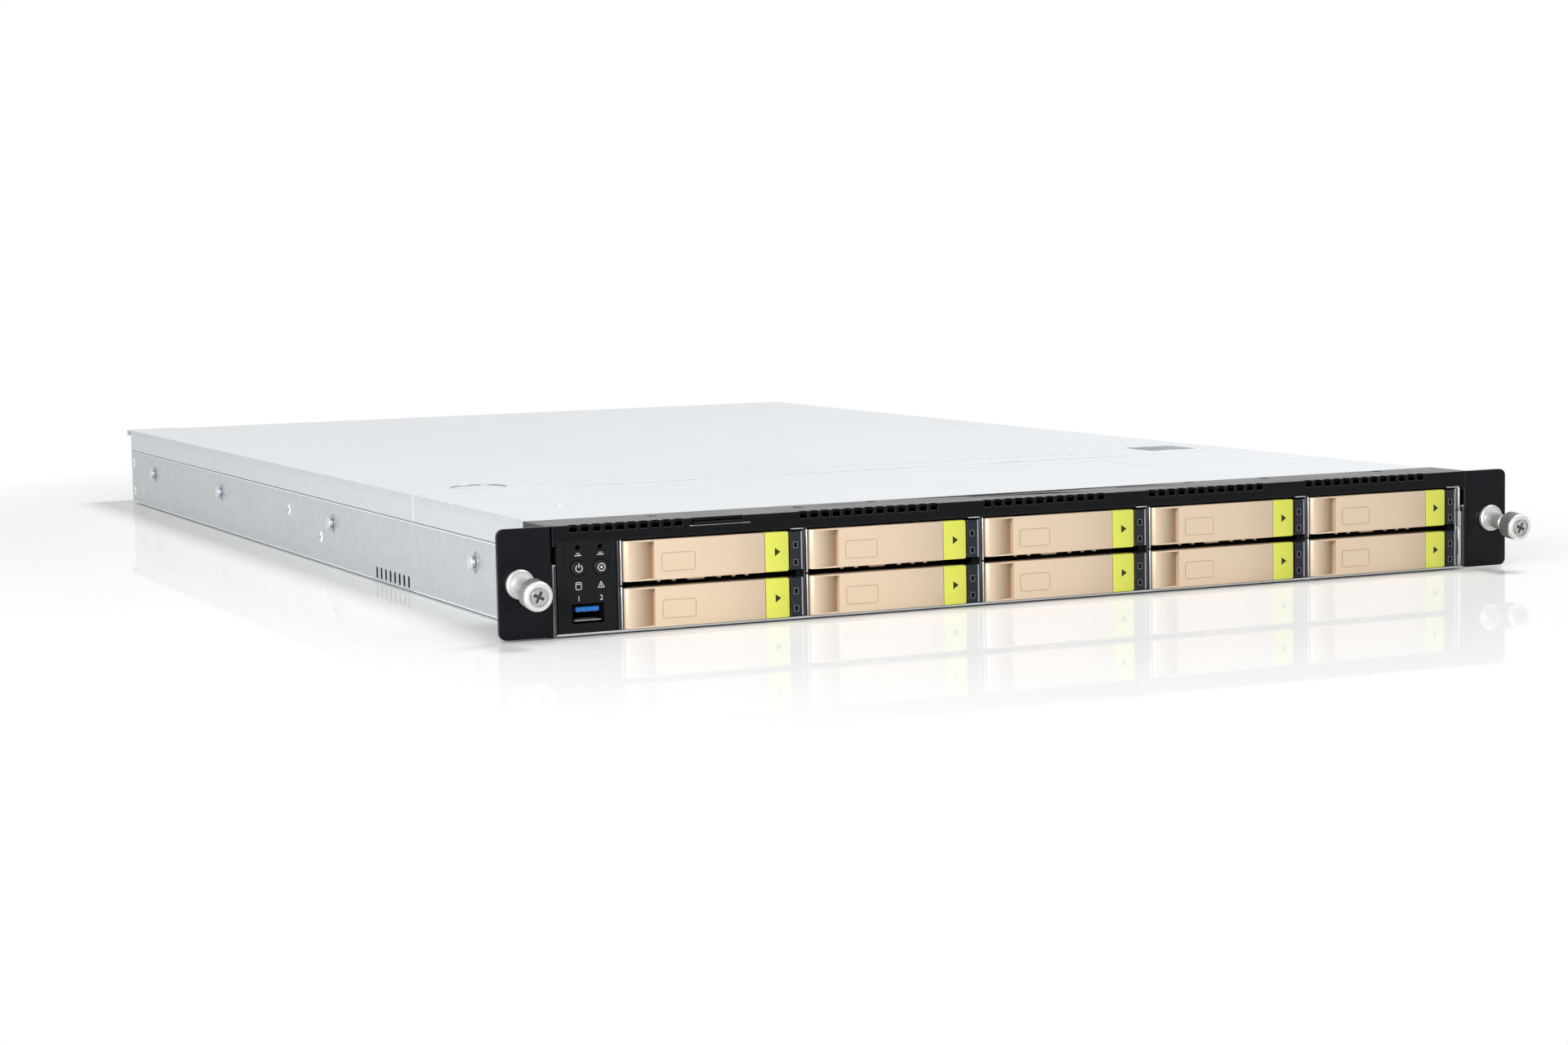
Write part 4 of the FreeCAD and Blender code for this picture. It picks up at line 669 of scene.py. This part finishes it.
# Profiles are pairs of a radius and a distance forward, counted from the plate, from one end of the grip or
# from the screw's own face.
FERRULE = ((4.8, -2.0), (5.6, -0.2), (5.9, 0.2), (5.9, 1.6), (5.4, 2.2), (5.0, 2.2), (4.9, 2.0), (4.8, 1.6))
SHANK_TIP = ((2.3, 0.0), (2.5, 0.4))
SHANK = ((2.5, -2.0), (3.4, -1.9), (3.45, 3.0))
HEAD_BACK = ((3.45, -3.4), (3.1, -3.0), (3.1, -1.0), (4.6, -0.4), (5.6, 0.0), (5.6, 0.4), (5.0, 0.5))
HEAD_FRONT = ((5.0, 0.0), (5.85, 0.1), (5.95, 0.4))
GRIP_BACK, GRIP_FRONT = ((4.9, 0.45), (5.7, 0.45), (6.0, 0.7)), ((6.0, -0.2), (5.7, 0.0), (4.9, 0.0))
FACE = ((5.7, -0.55), (5.25, -0.12), (4.95, 0.0), (4.0, -0.02), (3.85, -0.9), (2.6, -0.9))


def drooped(made, hole):
    """Let a piece of a loose captive screw hang a little from its hole."""
    pivot = Vector(hole) * MM
    made.data.transform(Matrix.Translation(pivot + DROOP_SHIFT)
                        @ Matrix.Rotation(DROOP, 4, "X") @ Matrix.Translation(-pivot))
    return made


def thumbscrew(side):
    """Captive screw: a pressed-in ferrule, a stepped shank, a knurled head and a cross-slotted face."""
    node = f"thumbscrew_{side}"
    low, high = corners(node)
    x, z = middle(node).x, middle(node).z
    plate = corners(f"ear_{side}")[0].y
    at, hole, reach = (x, 0.0, z), (x, plate, z), -low.y
    start, end = reach - GRIP_START, reach - GRIP_END
    dress(turned(f"ferrule_{side}", raised(-plate, FERRULE), at, steps=64), "nickel")
    profile = [*raised(-high.y, SHANK_TIP), *raised(-plate, SHANK), *raised(start, HEAD_BACK),
               *raised(end, HEAD_FRONT), *raised(reach, FACE)]
    screw = drooped(turned(f"captive_screw_{side}", profile, at, steps=64), hole)
    dress(screw, "nickel", node, smooth=28)
    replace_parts(screw, node)
    profile = [*raised(start, GRIP_BACK), *raised(end, GRIP_FRONT)]
    grip = turned(f"knurled_grip_{side}", profile, at, steps=132, ridges=(1, 2, 3, 4))
    dress(drooped(grip, hole), "knurl_shade_metal", node, smooth=5)
    disc = turned(f"screw_disc_{side}", raised(reach, ((3.4, -0.88), (3.4, -0.2), (3.25, -0.08))), at)
    for angle in (24.0, 114.0):
        carve(disc, bar_across("XZ", 2.4, 0.58, -1.2, 1.2, angle, (x, low.y + 0.1, z)))
    dress(soften(drooped(disc, hole), 0.08), "screw_steel", node)
    seat = turned(f"screw_slot_floor_{side}", raised(reach, ((2.6, -0.87), (2.6, -0.72))), at, steps=24)
    dress(drooped(seat, hole), "slot_shade", node)


def ear(side):
    """Rack ear with room for the loose screw and a side return that is lower behind the hood."""
    node = f"ear_{side}"
    low, high = corners(node)
    seam = corners("front_cover")[0].z - 0.2
    made = placed(f"rack_ear_{side}", nodes[node].data.copy())
    behind_hood = oblong(corners("bezel_hood")[1].y, high.y + 1, seam, high.z + 1)
    carve(made, slab("step", behind_hood, "YZ", low.x - 1, high.x + 1))
    screw = middle(f"thumbscrew_{side}")
    carve(made, turned("hole", raised(-low.y, ((4.9, -6.0), (4.9, 1.0))), (screw.x, 0.0, screw.z), steps=64))
    dress(soften(made, 0.25), "powder_black")
    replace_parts(made, node)


# ---------------- control panel
# The stem is counted from the button's back, and the dome from its front.
STEM_END = ((1.8, 0.0), (1.9, 0.1))
DOME = ((1.9, -2.0), (3.05, -1.9), (3.05, -0.62), (2.9, -0.38), (2.5, -0.18), (1.9, -0.07), (1.2, -0.02),
        (0.5, 0.0))


def push_button(name, label):
    """Domed rubber button on its stem."""
    low, high = corners(name)
    x, y, z = middle(name).x, low.y, middle(name).z
    made = turned(label, [*raised(-high.y, STEM_END), *raised(-y, DOME)], (x, 0.0, z))
    dress(made, "button_black", name, smooth=60)
    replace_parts(made, name)
    return x, y, z


def port_number(number, x, y, z):
    """Printed digit that stands on an upright face."""
    text = bpy.data.curves.new("digit", "FONT")
    text.body, text.size, text.extrude = number, 3.0 * MM, 0.02 * MM
    text.align_x, text.align_y = "CENTER", "CENTER"
    shape = placed("digit", text)
    shape.rotation_euler = (math.radians(90), 0, 0)
    shape.location = Vector((x, y, z)) * MM
    bpy.context.view_layer.update()
    mesh = bpy.data.meshes.new_from_object(shape.evaluated_get(bpy.context.evaluated_depsgraph_get()))
    mesh.transform(shape.matrix_world)
    bpy.data.objects.remove(shape)
    dress(placed(f"port_number_{number}", mesh), "print_pale")


def control_panel():
    """Frame, buttons, printed marks and the data socket's opening."""
    low, high = corners("control_panel")
    face, left, right, line = low.y, low.x + 3.2, high.x - 1.6, 0.7
    borders = [slab("border", oblong(*sides), "XZ", face - 0.25, face + 0.4) for sides in (
        (low.x, left, low.z, high.z), (right, high.x, low.z, high.z),
        (left, right, low.z, low.z + line), (left, right, high.z - line, high.z))]
    dress(soften(joined("panel_frame", borders), 0.15), "panel_black")

    x, y, z = push_button("power_button", "power_cap")
    glyph = [ribbon("arc", arc(x, z, 1.35, 122, 418, 40), 0.36, y - INK),
             ribbon("bar", [(x, z + 0.2), (x, z + 2.0)], 0.36, y - INK)]
    dress(joined("power_mark", glyph), "print_pale", "power_button")
    x2, y, z = push_button("locate_button", "locate_cap")
    glyph = [ribbon("ring", arc(x2, z, 1.45, 0, 360, 36)[:-1], 0.38, y - INK, closed=True),
             ribbon("dot", arc(x2, z, 0.3, 0, 360, 12)[:-1], 0.5, y - INK, closed=True)]
    dress(joined("locate_mark", glyph), "print_pale", "locate_button")

    ink, over = face - INK, face - 0.05
    icon = z - 7.1
    rim, foot, wide, tall = icon + 1.1, icon - 1.0, 1.15, 0.42
    marks = [
        ribbon("drum_top", arc(x, rim, wide, 0, 360, 28, tall)[:-1], 0.3, ink, closed=True),
        ribbon("drum_side", [(x - wide, rim), *arc(x, foot, wide, 180, 360, 14, tall), (x + wide, rim)],
               0.3, ink),
        ribbon("warning", [(x2 - 1.3, foot), (x2 + 1.3, foot), (x2, icon + 1.35)], 0.5, ink, closed=True),
        ribbon("warning_dot", [(x2, icon - 0.9), (x2, icon - 0.65)], 0.42, over),
        ribbon("warning_stem", [(x2, icon - 0.45), (x2, icon + 0.5)], 0.34, over)]
    for across in (x, x2):
        for half, level, width in ((1.4, z + 5.0, 0.35), (0.8, z + 5.8, 0.3)):
            marks.append(ribbon("hole_label", [(across - half, level), (across + half, level)], width, ink))
    dress(joined("panel_marks", marks), "print_pale")
    port_number("1", x, ink, z - 12.2)
    port_number("2", x2, ink, z - 12.2)
    data_socket()


def data_socket():
    """Metal shell painted deep black as the shade inside the opening, blue tongue and contacts of the front
    data socket.
    """
    low, high = corners("front_io_board")
    x, y, z = (low.x + high.x) / 2 + 0.3, low.y, corners("control_panel")[0].z - 0.95 + 8.4
    shell = slab("socket_shell", rounded_box(*about(x, z, 6.55, 3.3), 0.6), "XZ", y, y + 12.4)
    carve(shell, slab("inside", rounded_box(*about(x, z, 6.2, 2.95), 0.45), "XZ", y - 1, y + 12.0))
    # The shell is painted deep black as the shade inside the socket.
    dress(soften(shell, 0.08), "void_black")
    board = slab("io_board_sheet", oblong(low.x, high.x, low.z, high.z), "XZ", high.y - 1.6, high.y)
    dress(soften(board, 0.1), "board_green")
    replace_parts(board, "front_io_board")
    tongue = slab("socket_tongue", rounded_box(x - 4.9, x + 4.9, z + 0.75, z + 2.6, 0.15), "XZ",
                  y + 0.5, y + 11.8)
    dress(soften(tongue, 0.1), "tongue_blue")
    contacts = [slab("contact", rounded_box(x + step - 0.5, x + step + 0.5, z + 0.6, z + 0.78, 0.05), "XZ",
                     y + 1.2, y + 9.0) for step in (-3.5, -1.0, 1.0, 3.5)]
    dress(joined("socket_contacts", contacts), "gold")
    lip = slab("socket_spring", rounded_box(x - 5.6, x + 5.6, z - 2.94, z - 2.6, 0.1), "XZ", y + 0.3, y + 8.0)
    dress(soften(lip, 0.08), "nickel")


# ---------------- trim of the drive cage and the pan
PITCH = corners("handle_03")[0].x - corners("handle_01")[0].x
COLUMNS = 5
SHELF = (17.9, 18.6)
CAGE_TOP = CAGE_HIGH.z - 1.0
# Lit and shaded copies of one steel: the left hem is painted dark as shade, the right one bright as a painted
# highlight.
HEMS = {"divider_hems_left": (0.0, "hem_shade_steel"), "divider_hems_right": (1.2, "bright_steel")}
HEM_RADIUS = 0.37
WALL_EDGE, WALL_EDGE_TOP = 1.0, 27.6


def divider_trim():
    """Rounded hems on both sheets of every divider, one in painted shade and one bright as lit, and small
    tabs on top of the cage.
    """
    front = CAGE_LOW.y
    for name, (inset, finish_name) in HEMS.items():
        hems = []
        for column in range(COLUMNS + 1):
            x0 = CAGE_LOW.x + PITCH * column + 0.03 + inset
            plan = [(x0, front + 2), *arc(x0 + HEM_RADIUS, front - 0.15, HEM_RADIUS, 180, 360, 8),
                    (x0 + 2 * HEM_RADIUS, front + 2)]
            for low_z, high_z in ((CAGE_LOW.z + 0.2, SHELF[0]), (SHELF[1], CAGE_TOP - 0.2)):
                hems.append(soften(slab("hem", plan, "XY", low_z, high_z), 0.15))
        dress(joined(name, hems), finish_name)
    tabs = []
    for column in range(COLUMNS):
        left = CAGE_LOW.x + PITCH * (column + 1) - 5.6
        tabs.append(soften(slab("tab", oblong(left, left + 5.4, CAGE_TOP, CAGE_TOP + 0.4), "XZ",
                                front - 1.2, front + 1.0), 0.1))
    dress(joined("cage_tabs", tabs), "bright_steel")


def end_trim():
    """Rounded front edges of the pan's walls in painted shade, and the slotted upright at the right end of
    the bays.
    """
    edges = []
    for side, wall in WALLS:
        x0, x1 = sorted((wall, wall - side * WALL_EDGE))
        outline = [(x0, 0.2), (x1, 0.2), *arc((x0 + x1) / 2, WALL_EDGE_TOP, WALL_EDGE / 2, 0, 180)]
        edges.append(slab("edge", outline, "XZ", PAN_LOW.y - 0.15, PAN_LOW.y + 1.0))
    dress(joined("wall_edges", edges), "hem_shade_steel")
    right, bottom, front, radius = PAN_HIGH.x - 1.2, PAN_LOW.z + 1.0, CAGE_LOW.y, 0.9
    upright = [(right - 3.6, bottom), (right, bottom), *arc(right - radius, 24.9, radius, 0, 90, 5),
               *arc(right - 2.7, 24.9, radius, 90, 180, 5)]
    tab = slab("right_tab", upright, "XZ", front - 0.05, front + 0.7)
    slot = rounded_box(right - 2.6, right - 1.0, 6.0, 13.0, 0.5)
    carve(tab, slab("tab_slot", slot, "XZ", front - 1, front + 0.3))
    strip = slab("right_strip", oblong(right - 3.3, right - 1.4, 27.2, 37.5), "XZ", front - 0.05, front + 0.7)
    dress(soften(joined("right_end", [tab, strip]), 0.12), "bright_steel")


# ---------------- hood and lids
# Each row of notches has the place of its first one across the width, and their number.
NOTCH_ROWS = ((-209.6, 10), (-110.0, 13), (-25.1, 12), (54.8, 12), (135.0, 13))
NOTCH_PITCH, NOTCH_HALF = 4.97, 1.75
# Screws, as places across the width and behind the hood's front face.
HOOD_SCREWS = ((-169, 18.6), (-104, 17.9), (-67.6, 24.0), (-23, 18.9), (48, 21.1), (88, 24.0), (126.7, 23.1),
               (187, 22.5))
LID_SCREWS = ((-182, 86.0), (182, 86.0))
SEAT_DEPTH, SUNK = 0.8, 0.55
# Below the slope of the cones, so that the flat sheet around them stays flat to the eye.
CONE_SMOOTH = 18


def hood_notches():
    """Cutters for the row of notches through the hood's front edge."""
    low, high = corners("bezel_hood")
    places = [first + NOTCH_PITCH * index for first, count in NOTCH_ROWS for index in range(count)]
    return joined("notch_cutters", [
        slab("notch", oblong(x - NOTCH_HALF, x + NOTCH_HALF, high.z - 2.9, high.z + 0.5), "XZ",
             low.y - 0.5, low.y + 2.6) for x in places])


def screw_head(at, radius):
    """Flat screw head with a raised rim and a cross slot."""
    profile = [(radius, -0.15), (radius, 0.05), (radius - 0.25, 0.14), (radius * 0.72, 0.1), (0.3, 0.05)]
    head = turned("screw_head", profile, at, UP, 32)
    for angle in (20.0, 110.0):
        carve(head, bar_across("XY", radius * 0.55, 0.22, -0.05, 0.6, angle, at))
    return head


def screwed_sheet(node, name, places, radii, finish_name, screws, screw_finish, notches=None):
    """A sheet piece with cone-shaped seats in its top, and the screws sunk into them."""
    made = placed(name, nodes[node].data.copy())
    top = corners(node)[1].z
    radius, head_radius = radii
    spots = [(x, FRONT + back) for x, back in places]
    cone = [(radius * 0.45, -SEAT_DEPTH), (radius, 0.0), (radius * 1.1, 0.2)]
    carve(made, joined("seats", [turned("seat", cone, (x, y, top), UP, 32) for x, y in spots]))
    if notches:
        carve(made, notches)
    dress(made, finish_name, smooth=CONE_SMOOTH)
    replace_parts(made, node)
    heads = [screw_head((x, y, top - SUNK), head_radius) for x, y in spots]
    dress(joined(screws, heads), screw_finish)


def tag_lip():
    """Bright folded lip below the pull-out card."""
    low, high = corners("info_tag")
    lip = slab("tag_lip", oblong(low.x - 1.5, high.x + 3.5, low.z - 0.75, low.z - 0.45), "XZ",
               FRONT - 0.4, FRONT + 1.0)
    dress(soften(lip, 0.1), "screw_steel")


DISH = (-179.0, 204.0)
LID_DIMPLE = ((1.5, -0.2), (1.5, 0.02), (1.2, 0.06), (0.3, 0.06))
LID_DIMPLES = ((-150.7, 217.0), (-152.0, 196.4), (-144.6, 207.1))
CREASE_LEFT, CREASE_RIGHT, CREASE_START, CREASE_END, CREASE_WIDE = -214.0, 122.3, 42.0, 156.7, 0.6


def lid_details():
    """Dished finger rest, small dimples, a painted highlight along the front rim and the crease on the lids.
    """
    low, high = corners("rear_cover")
    top = corners("front_cover")[1].z
    dish = (DISH[0], FRONT + DISH[1], top)
    # The dish's wall takes the darker finish as its painted shade.
    wall = turned("dish_wall", [(13.2, -0.45), (13.2, 0.03), (12.8, 0.03), (12.5, -0.45)], dish, UP, 64)
    carve(wall, turned("dish_room", [(12.45, -1.0), (12.75, 1.0)], dish, UP, 64))
    dress(wall, "swelling_shade_steel", "rear_cover")
    dimples = [turned("dimple", LID_DIMPLE, (x, FRONT + y, top), UP, 20) for x, y in LID_DIMPLES]
    dress(joined("lid_dimples", dimples), "bright_steel", "rear_cover")
    # A painted highlight along the lid's front edge and down its two front ends.
    start, end = low.y + 0.05, low.y + 0.6
    rim = [slab("rim", oblong(low.x, high.x, start, end), "XY", top - 0.02, top + 0.05)]
    for x0, x1 in ((low.x - 0.06, low.x + 0.02), (high.x - 0.02, high.x + 0.06)):
        rim.append(slab("rim", oblong(start, end, low.z, top), "YZ", x0, x1))
    dress(joined("lid_front_highlight", rim), "highlight_rim", "rear_cover")
    start, end, sheet = FRONT + CREASE_START, FRONT + CREASE_END, high.z - 0.02
    crease = [slab("crease", oblong(*sides), "XY", sheet, sheet + 0.06) for sides in (
        (CREASE_RIGHT, CREASE_RIGHT + CREASE_WIDE, start, end + CREASE_WIDE),
        (CREASE_LEFT, CREASE_RIGHT, end, end + CREASE_WIDE))]
    dress(soften(joined("lid_crease", crease), 0.02), "lid_steel")


# ---------------- the sides
# Stations are counted back from the hood's front face, and heights from the bottom.
STUD = ((2.0, 0.0), (2.0, 1.75), (2.75, 1.8), (3.0, 2.05), (3.0, 2.6), (2.7, 2.95), (2.0, 3.0), (1.6, 2.8),
        (1.0, 2.75))
STUD_STATIONS = (94.0, 306.0, 523.0, 682.0)
SIDE_DIMPLES = ((385.0, 21.6), (328.0, 12.5), (739.0, 23.8), (739.0, 7.0))
CORE = ((0.75, 0.1), (0.75, 0.56), (0.3, 0.6))
# Rings of a pressed swelling, as shares of its size and of its rise.
LENS_RINGS = ((1.06, -0.3), (1.0, 0.0), (0.86, 0.42), (0.66, 0.78), (0.4, 0.96), (0.12, 1.0))
LENS_STEPS, LENS_POINT = 28, 0.35
VENTS_START, VENTS_END, VENT_COUNT = 183.8, 239.0, 8


def pressed_lens(name, at, side, half_tall, half_long, rise):
    """Almond-shaped swelling pressed out of a side wall, pointed above and below."""
    x, y, z = at
    points = []
    for share, height in LENS_RINGS:
        for step in range(LENS_STEPS):
            turn = 2 * math.pi * step / LENS_STEPS
            across = math.cos(turn) * abs(math.cos(turn)) ** LENS_POINT
            points.append((x + side * rise * height, y + half_long * share * across,
                           z + half_tall * share * math.sin(turn)))
    return mesh_piece(name, points, band_faces(len(LENS_RINGS), LENS_STEPS))


def side_fixings():
    """Shouldered rail studs on pressed swellings, small dimples, a painted shadow under the seam and painted
    highlights along the edges of the sides.
    """
    z = middle("rail_studs").z
    start, end, seam = corners("front_cover")[0].y, PAN_HIGH.y - 0.5, corners("rear_cover")[0].z
    studs, swellings, dimples, cores, seam_shadows, rims = [], [], [], [], [], []
    for side, wall in WALLS:
        for station in STUD_STATIONS:
            at = (wall, FRONT + station, z)
            studs.append(turned("stud", STUD, at, (side, 0, 0), 32))
            swellings.append(pressed_lens("swelling", at, side, 5.0, 3.2, 1.0))
        for station, height in SIDE_DIMPLES:
            at = (wall, FRONT + station, height)
            dimples.append(pressed_lens("dimple", at, side, 2.9, 2.0, 0.5))
            # The core is a dark disc painted as the shade in the dimple's middle.
            cores.append(turned("core", CORE, at, (side, 0, 0), 16))
        inner, outer = sorted((wall - side * 0.1, wall + side * 0.03))
        # A painted shadow strip under the lid's seam, and painted highlight strips below it and along the
        # bottom.
        for bottom, top, kept in ((seam - 0.5, seam - 0.02, seam_shadows), (seam - 0.95, seam - 0.55, rims),
                                  (PAN_LOW.z + 0.02, PAN_LOW.z + 0.55, rims)):
            kept.append(slab("edge", oblong(start, end, bottom, top), "YZ", inner, outer))
    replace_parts(dress(joined("rail_stud_set", studs), "stud_metal"), "rail_studs")
    # The swellings take the darker finish as painted shade.
    dress(joined("side_swellings", swellings), "swelling_shade_steel", smooth=60)
    # The dimples take the near-white finish as a painted highlight.
    dress(joined("side_dimples", dimples), "highlight_rim", smooth=60)
    dress(joined("side_seam_shadows", seam_shadows), "seam_shadow")
    dress(joined("side_edge_highlights", rims), "highlight_rim")
    dress(joined("dimple_cores", cores), "slot_shade")


def side_vents():
    """Row of short rounded slots near the bottom of each side, painted black as shade, on a thin pressed
    strip.
    """
    start, end = FRONT + VENTS_START, FRONT + VENTS_END
    strips, slots = [], []
    for side, wall in WALLS:
        x0, x1 = sorted((wall, wall + side * 0.06))
        strips.append(slab("strip", oblong(start - 3, end + 3, 0.2, 12.5), "YZ", x0, x1))
        x0, x1 = sorted((wall, wall + side * 0.1))
        # The slots are black slabs on the strip, painted as the shade inside the openings.
        for step in range(VENT_COUNT):
            y = start + (end - start) * (step + 0.5) / VENT_COUNT
            slots.append(slab("slot", rounded_box(y - 1.15, y + 1.15, 0.9, 6.4, 1.1), "YZ", x0, x1))
    dress(joined("vent_strips", strips), "side_steel")
    dress(joined("vent_slots", slots), "void_black")


# ---------------- the back
GRIP_DEPTH = 24.0
INLET_LEFT, GRILLE_RIGHT, GRILLE_UP = 21.0, 14.5, 12.5
PINS = ((-7.0, -1.5), (0.0, 2.5), (7.0, -1.5))


def supply_details(index):
    """Inlet pins, a frame around the inlet and an air grille on a power supply."""
    node = f"power_supply_{index}"
    low, high = corners(node)
    face = high.y - GRIP_DEPTH
    x, z = low.x + INLET_LEFT, (low.z + high.z) / 2
    pins = [soften(slab("pin", rounded_box(*about(x + dx, z + dz, 1.0, 2.0), 0.3), "XZ",
                        face - 15.9, face - 3.0), 0.2) for dx, dz in PINS]
    dress(joined(f"inlet_pins_{index}", pins), "nickel", node)
    rim = open_frame(rounded_box(*about(x, z, 14.5, 10.5), 2.5), rounded_box(*about(x, z, 12.5, 8.5), 1.5),
                     face - 0.2, face + 1.2)
    dress(soften(rim), "panel_black", node)
    x, z = high.x - GRILLE_RIGHT, low.z + GRILLE_UP
    # A black disc behind the wires, painted as the shade inside the grille.
    backing = turned(f"grille_backing_{index}", raised(face, ((10.2, -0.3), (10.2, 0.1))), (x, 0.0, z), BACK)
    dress(backing, "void_black", node)
    wires = [ribbon("wire", arc(x, z, radius, 0, 360, 40), 0.9, face + 0.5, closed=True)
             for radius in (3.2, 6.0, 8.8)]
    wires += [bar_across("XZ", 10.0, 0.45, 0.1, 0.6, angle, (x, face, z)) for angle in (45.0, 135.0)]
    dress(joined(f"air_grille_{index}", wires), "bright_steel", node)


# ---------------- floor, light and camera
FLOOR_HALF, FLOOR_GAP = 12.0, 0.0008
FLOOR_PALE, FLOOR_GLOSS, FLOOR_ROUGH = 0.92, 0.19, 0.025
FLOOR_FADE, FADE_START_TO_END = (0.52, 0.78), (0.66, 0.9)
WHITE = (1, 1, 1, 1)
FOCAL, SENSOR = 69.36, 36.0
CAMERA_PLACE = (-0.62395, -1.47930, 0.15511)
CAMERA_TURN = (24.5327, 5.4264, -1.0932)


def floor():
    """Pale polished floor: white to the eye, with a soft reflection and the object's shadow."""
    mesh = bpy.data.meshes.new("floor")
    sides = oblong(-FLOOR_HALF, FLOOR_HALF, -FLOOR_HALF, FLOOR_HALF)
    mesh.from_pydata([(x, y, 0) for x, y in sides], [], [(0, 1, 2, 3)])
    ground = placed("floor", mesh)
    ground.location.z = cad_box[0].z - FLOOR_GAP
    made = bpy.data.materials.new("pale floor")
    made.use_nodes = True
    tree = made.node_tree
    tree.nodes.remove(tree.nodes["Principled BSDF"])
    matt = put(tree, "BsdfDiffuse", {"Color": (*(FLOOR_PALE,) * 3, 1.0)}).outputs[0]
    gloss = put(tree, "BsdfGlossy", {"Color": WHITE, "Roughness": FLOOR_ROUGH}).outputs[0]
    near = put(tree, "MixShader", {0: FLOOR_GLOSS, 1: matt, 2: gloss}).outputs[0]
    scale = (1 / FLOOR_FADE[0], 1 / FLOOR_FADE[1], 0.0)
    share = put(tree, "VectorMath", {0: object_place(tree), 1: scale}, operation="MULTIPLY").outputs[0]
    apart = put(tree, "VectorMath", {0: share}, operation="LENGTH").outputs["Value"]
    bare = maths(tree, "MULTIPLY", ranged(tree, apart, 0.0, 1.0, *FADE_START_TO_END),
                 put(tree, "LightPath").outputs["Is Camera Ray"])
    glow = put(tree, "Emission", {"Color": WHITE, "Strength": 1.0}).outputs[0]
    surface = put(tree, "MixShader", {0: bare, 1: near, 2: glow}).outputs[0]
    feed(tree, surface, tree.nodes["Material Output"].inputs["Surface"])
    ground.data.materials.append(made)


def world():
    """White surroundings to the eye and in reflections, and an even soft light."""
    made = bpy.data.worlds.new("studio")
    scene.world = made
    made.use_nodes = True
    tree = made.node_tree
    rays = put(tree, "LightPath").outputs
    seen = maths(tree, "MAXIMUM", rays["Is Camera Ray"], rays["Is Glossy Ray"])
    seen = maths(tree, "MAXIMUM", seen, rays["Is Transmission Ray"])
    sky = tree.nodes["Background"].inputs
    sky["Color"].default_value = WHITE
    soft, full = 0.4, 1.0
    feed(tree, ranged(tree, seen, soft, full), sky["Strength"])


def softbox(name, place, target, size, power):
    """Rectangular lamp turned towards a point."""
    lamp = bpy.data.lights.new(name, "AREA")
    lamp.shape, lamp.size, lamp.size_y, lamp.energy = "RECTANGLE", size[0], size[1], power
    made = placed(name, lamp)
    made.location = place
    made.rotation_mode = "QUATERNION"
    made.rotation_quaternion = (Vector(target) - Vector(place)).to_track_quat("-Z", "Y")


def camera():
    """Long-lens view from the front left, a little above the lid."""
    lens = bpy.data.cameras.new("camera")
    lens.sensor_width, lens.lens = SENSOR, FOCAL
    lens.clip_start, lens.clip_end = 0.05, 50.0
    made = placed("camera", lens)
    made.location = CAMERA_PLACE
    yaw, pitch, roll = (math.radians(angle) for angle in CAMERA_TURN)
    ahead = Vector((math.sin(yaw) * math.cos(pitch), math.cos(yaw) * math.cos(pitch), -math.sin(pitch)))
    right = Vector((math.cos(yaw), -math.sin(yaw), 0))
    up = right.cross(ahead)
    turned_right = right * math.cos(roll) + up * math.sin(roll)
    turned_up = up * math.cos(roll) - right * math.sin(roll)
    made.rotation_mode = "QUATERNION"
    made.rotation_quaternion = Matrix((turned_right, turned_up, -ahead)).transposed().to_quaternion()
    scene.camera = made


drive_modules()
for side in ("left", "right"):
    thumbscrew(side)
    ear(side)
control_panel()
divider_trim()
end_trim()
screwed_sheet("bezel_hood", "hood", HOOD_SCREWS, (2.7, 1.9), "hood_black",
              "hood_screws", "screw_black", hood_notches())
screwed_sheet("front_cover", "fixed_lid", LID_SCREWS, (3.0, 2.1), "lid_steel",
              "lid_screws", "screw_steel")
tag_lip()
side_fixings()
side_vents()
lid_details()
for index in (1, 2):
    supply_details(index)

floor()
world()
softbox("front_light", (-1.0, -1.9, 1.2), (0, -0.3, 0), (1.1, 0.8), 4)
softbox("side_light", (-1.3, -1.3, 0.5), (-0.2, -0.2, 0.02), (0.7, 0.5), 19.5)
softbox("top_light", (1.1, 0.05, 2.3), (0, 0, 0), (0.9, 0.9), 34)
camera()
scene.view_settings.view_transform = "Standard"
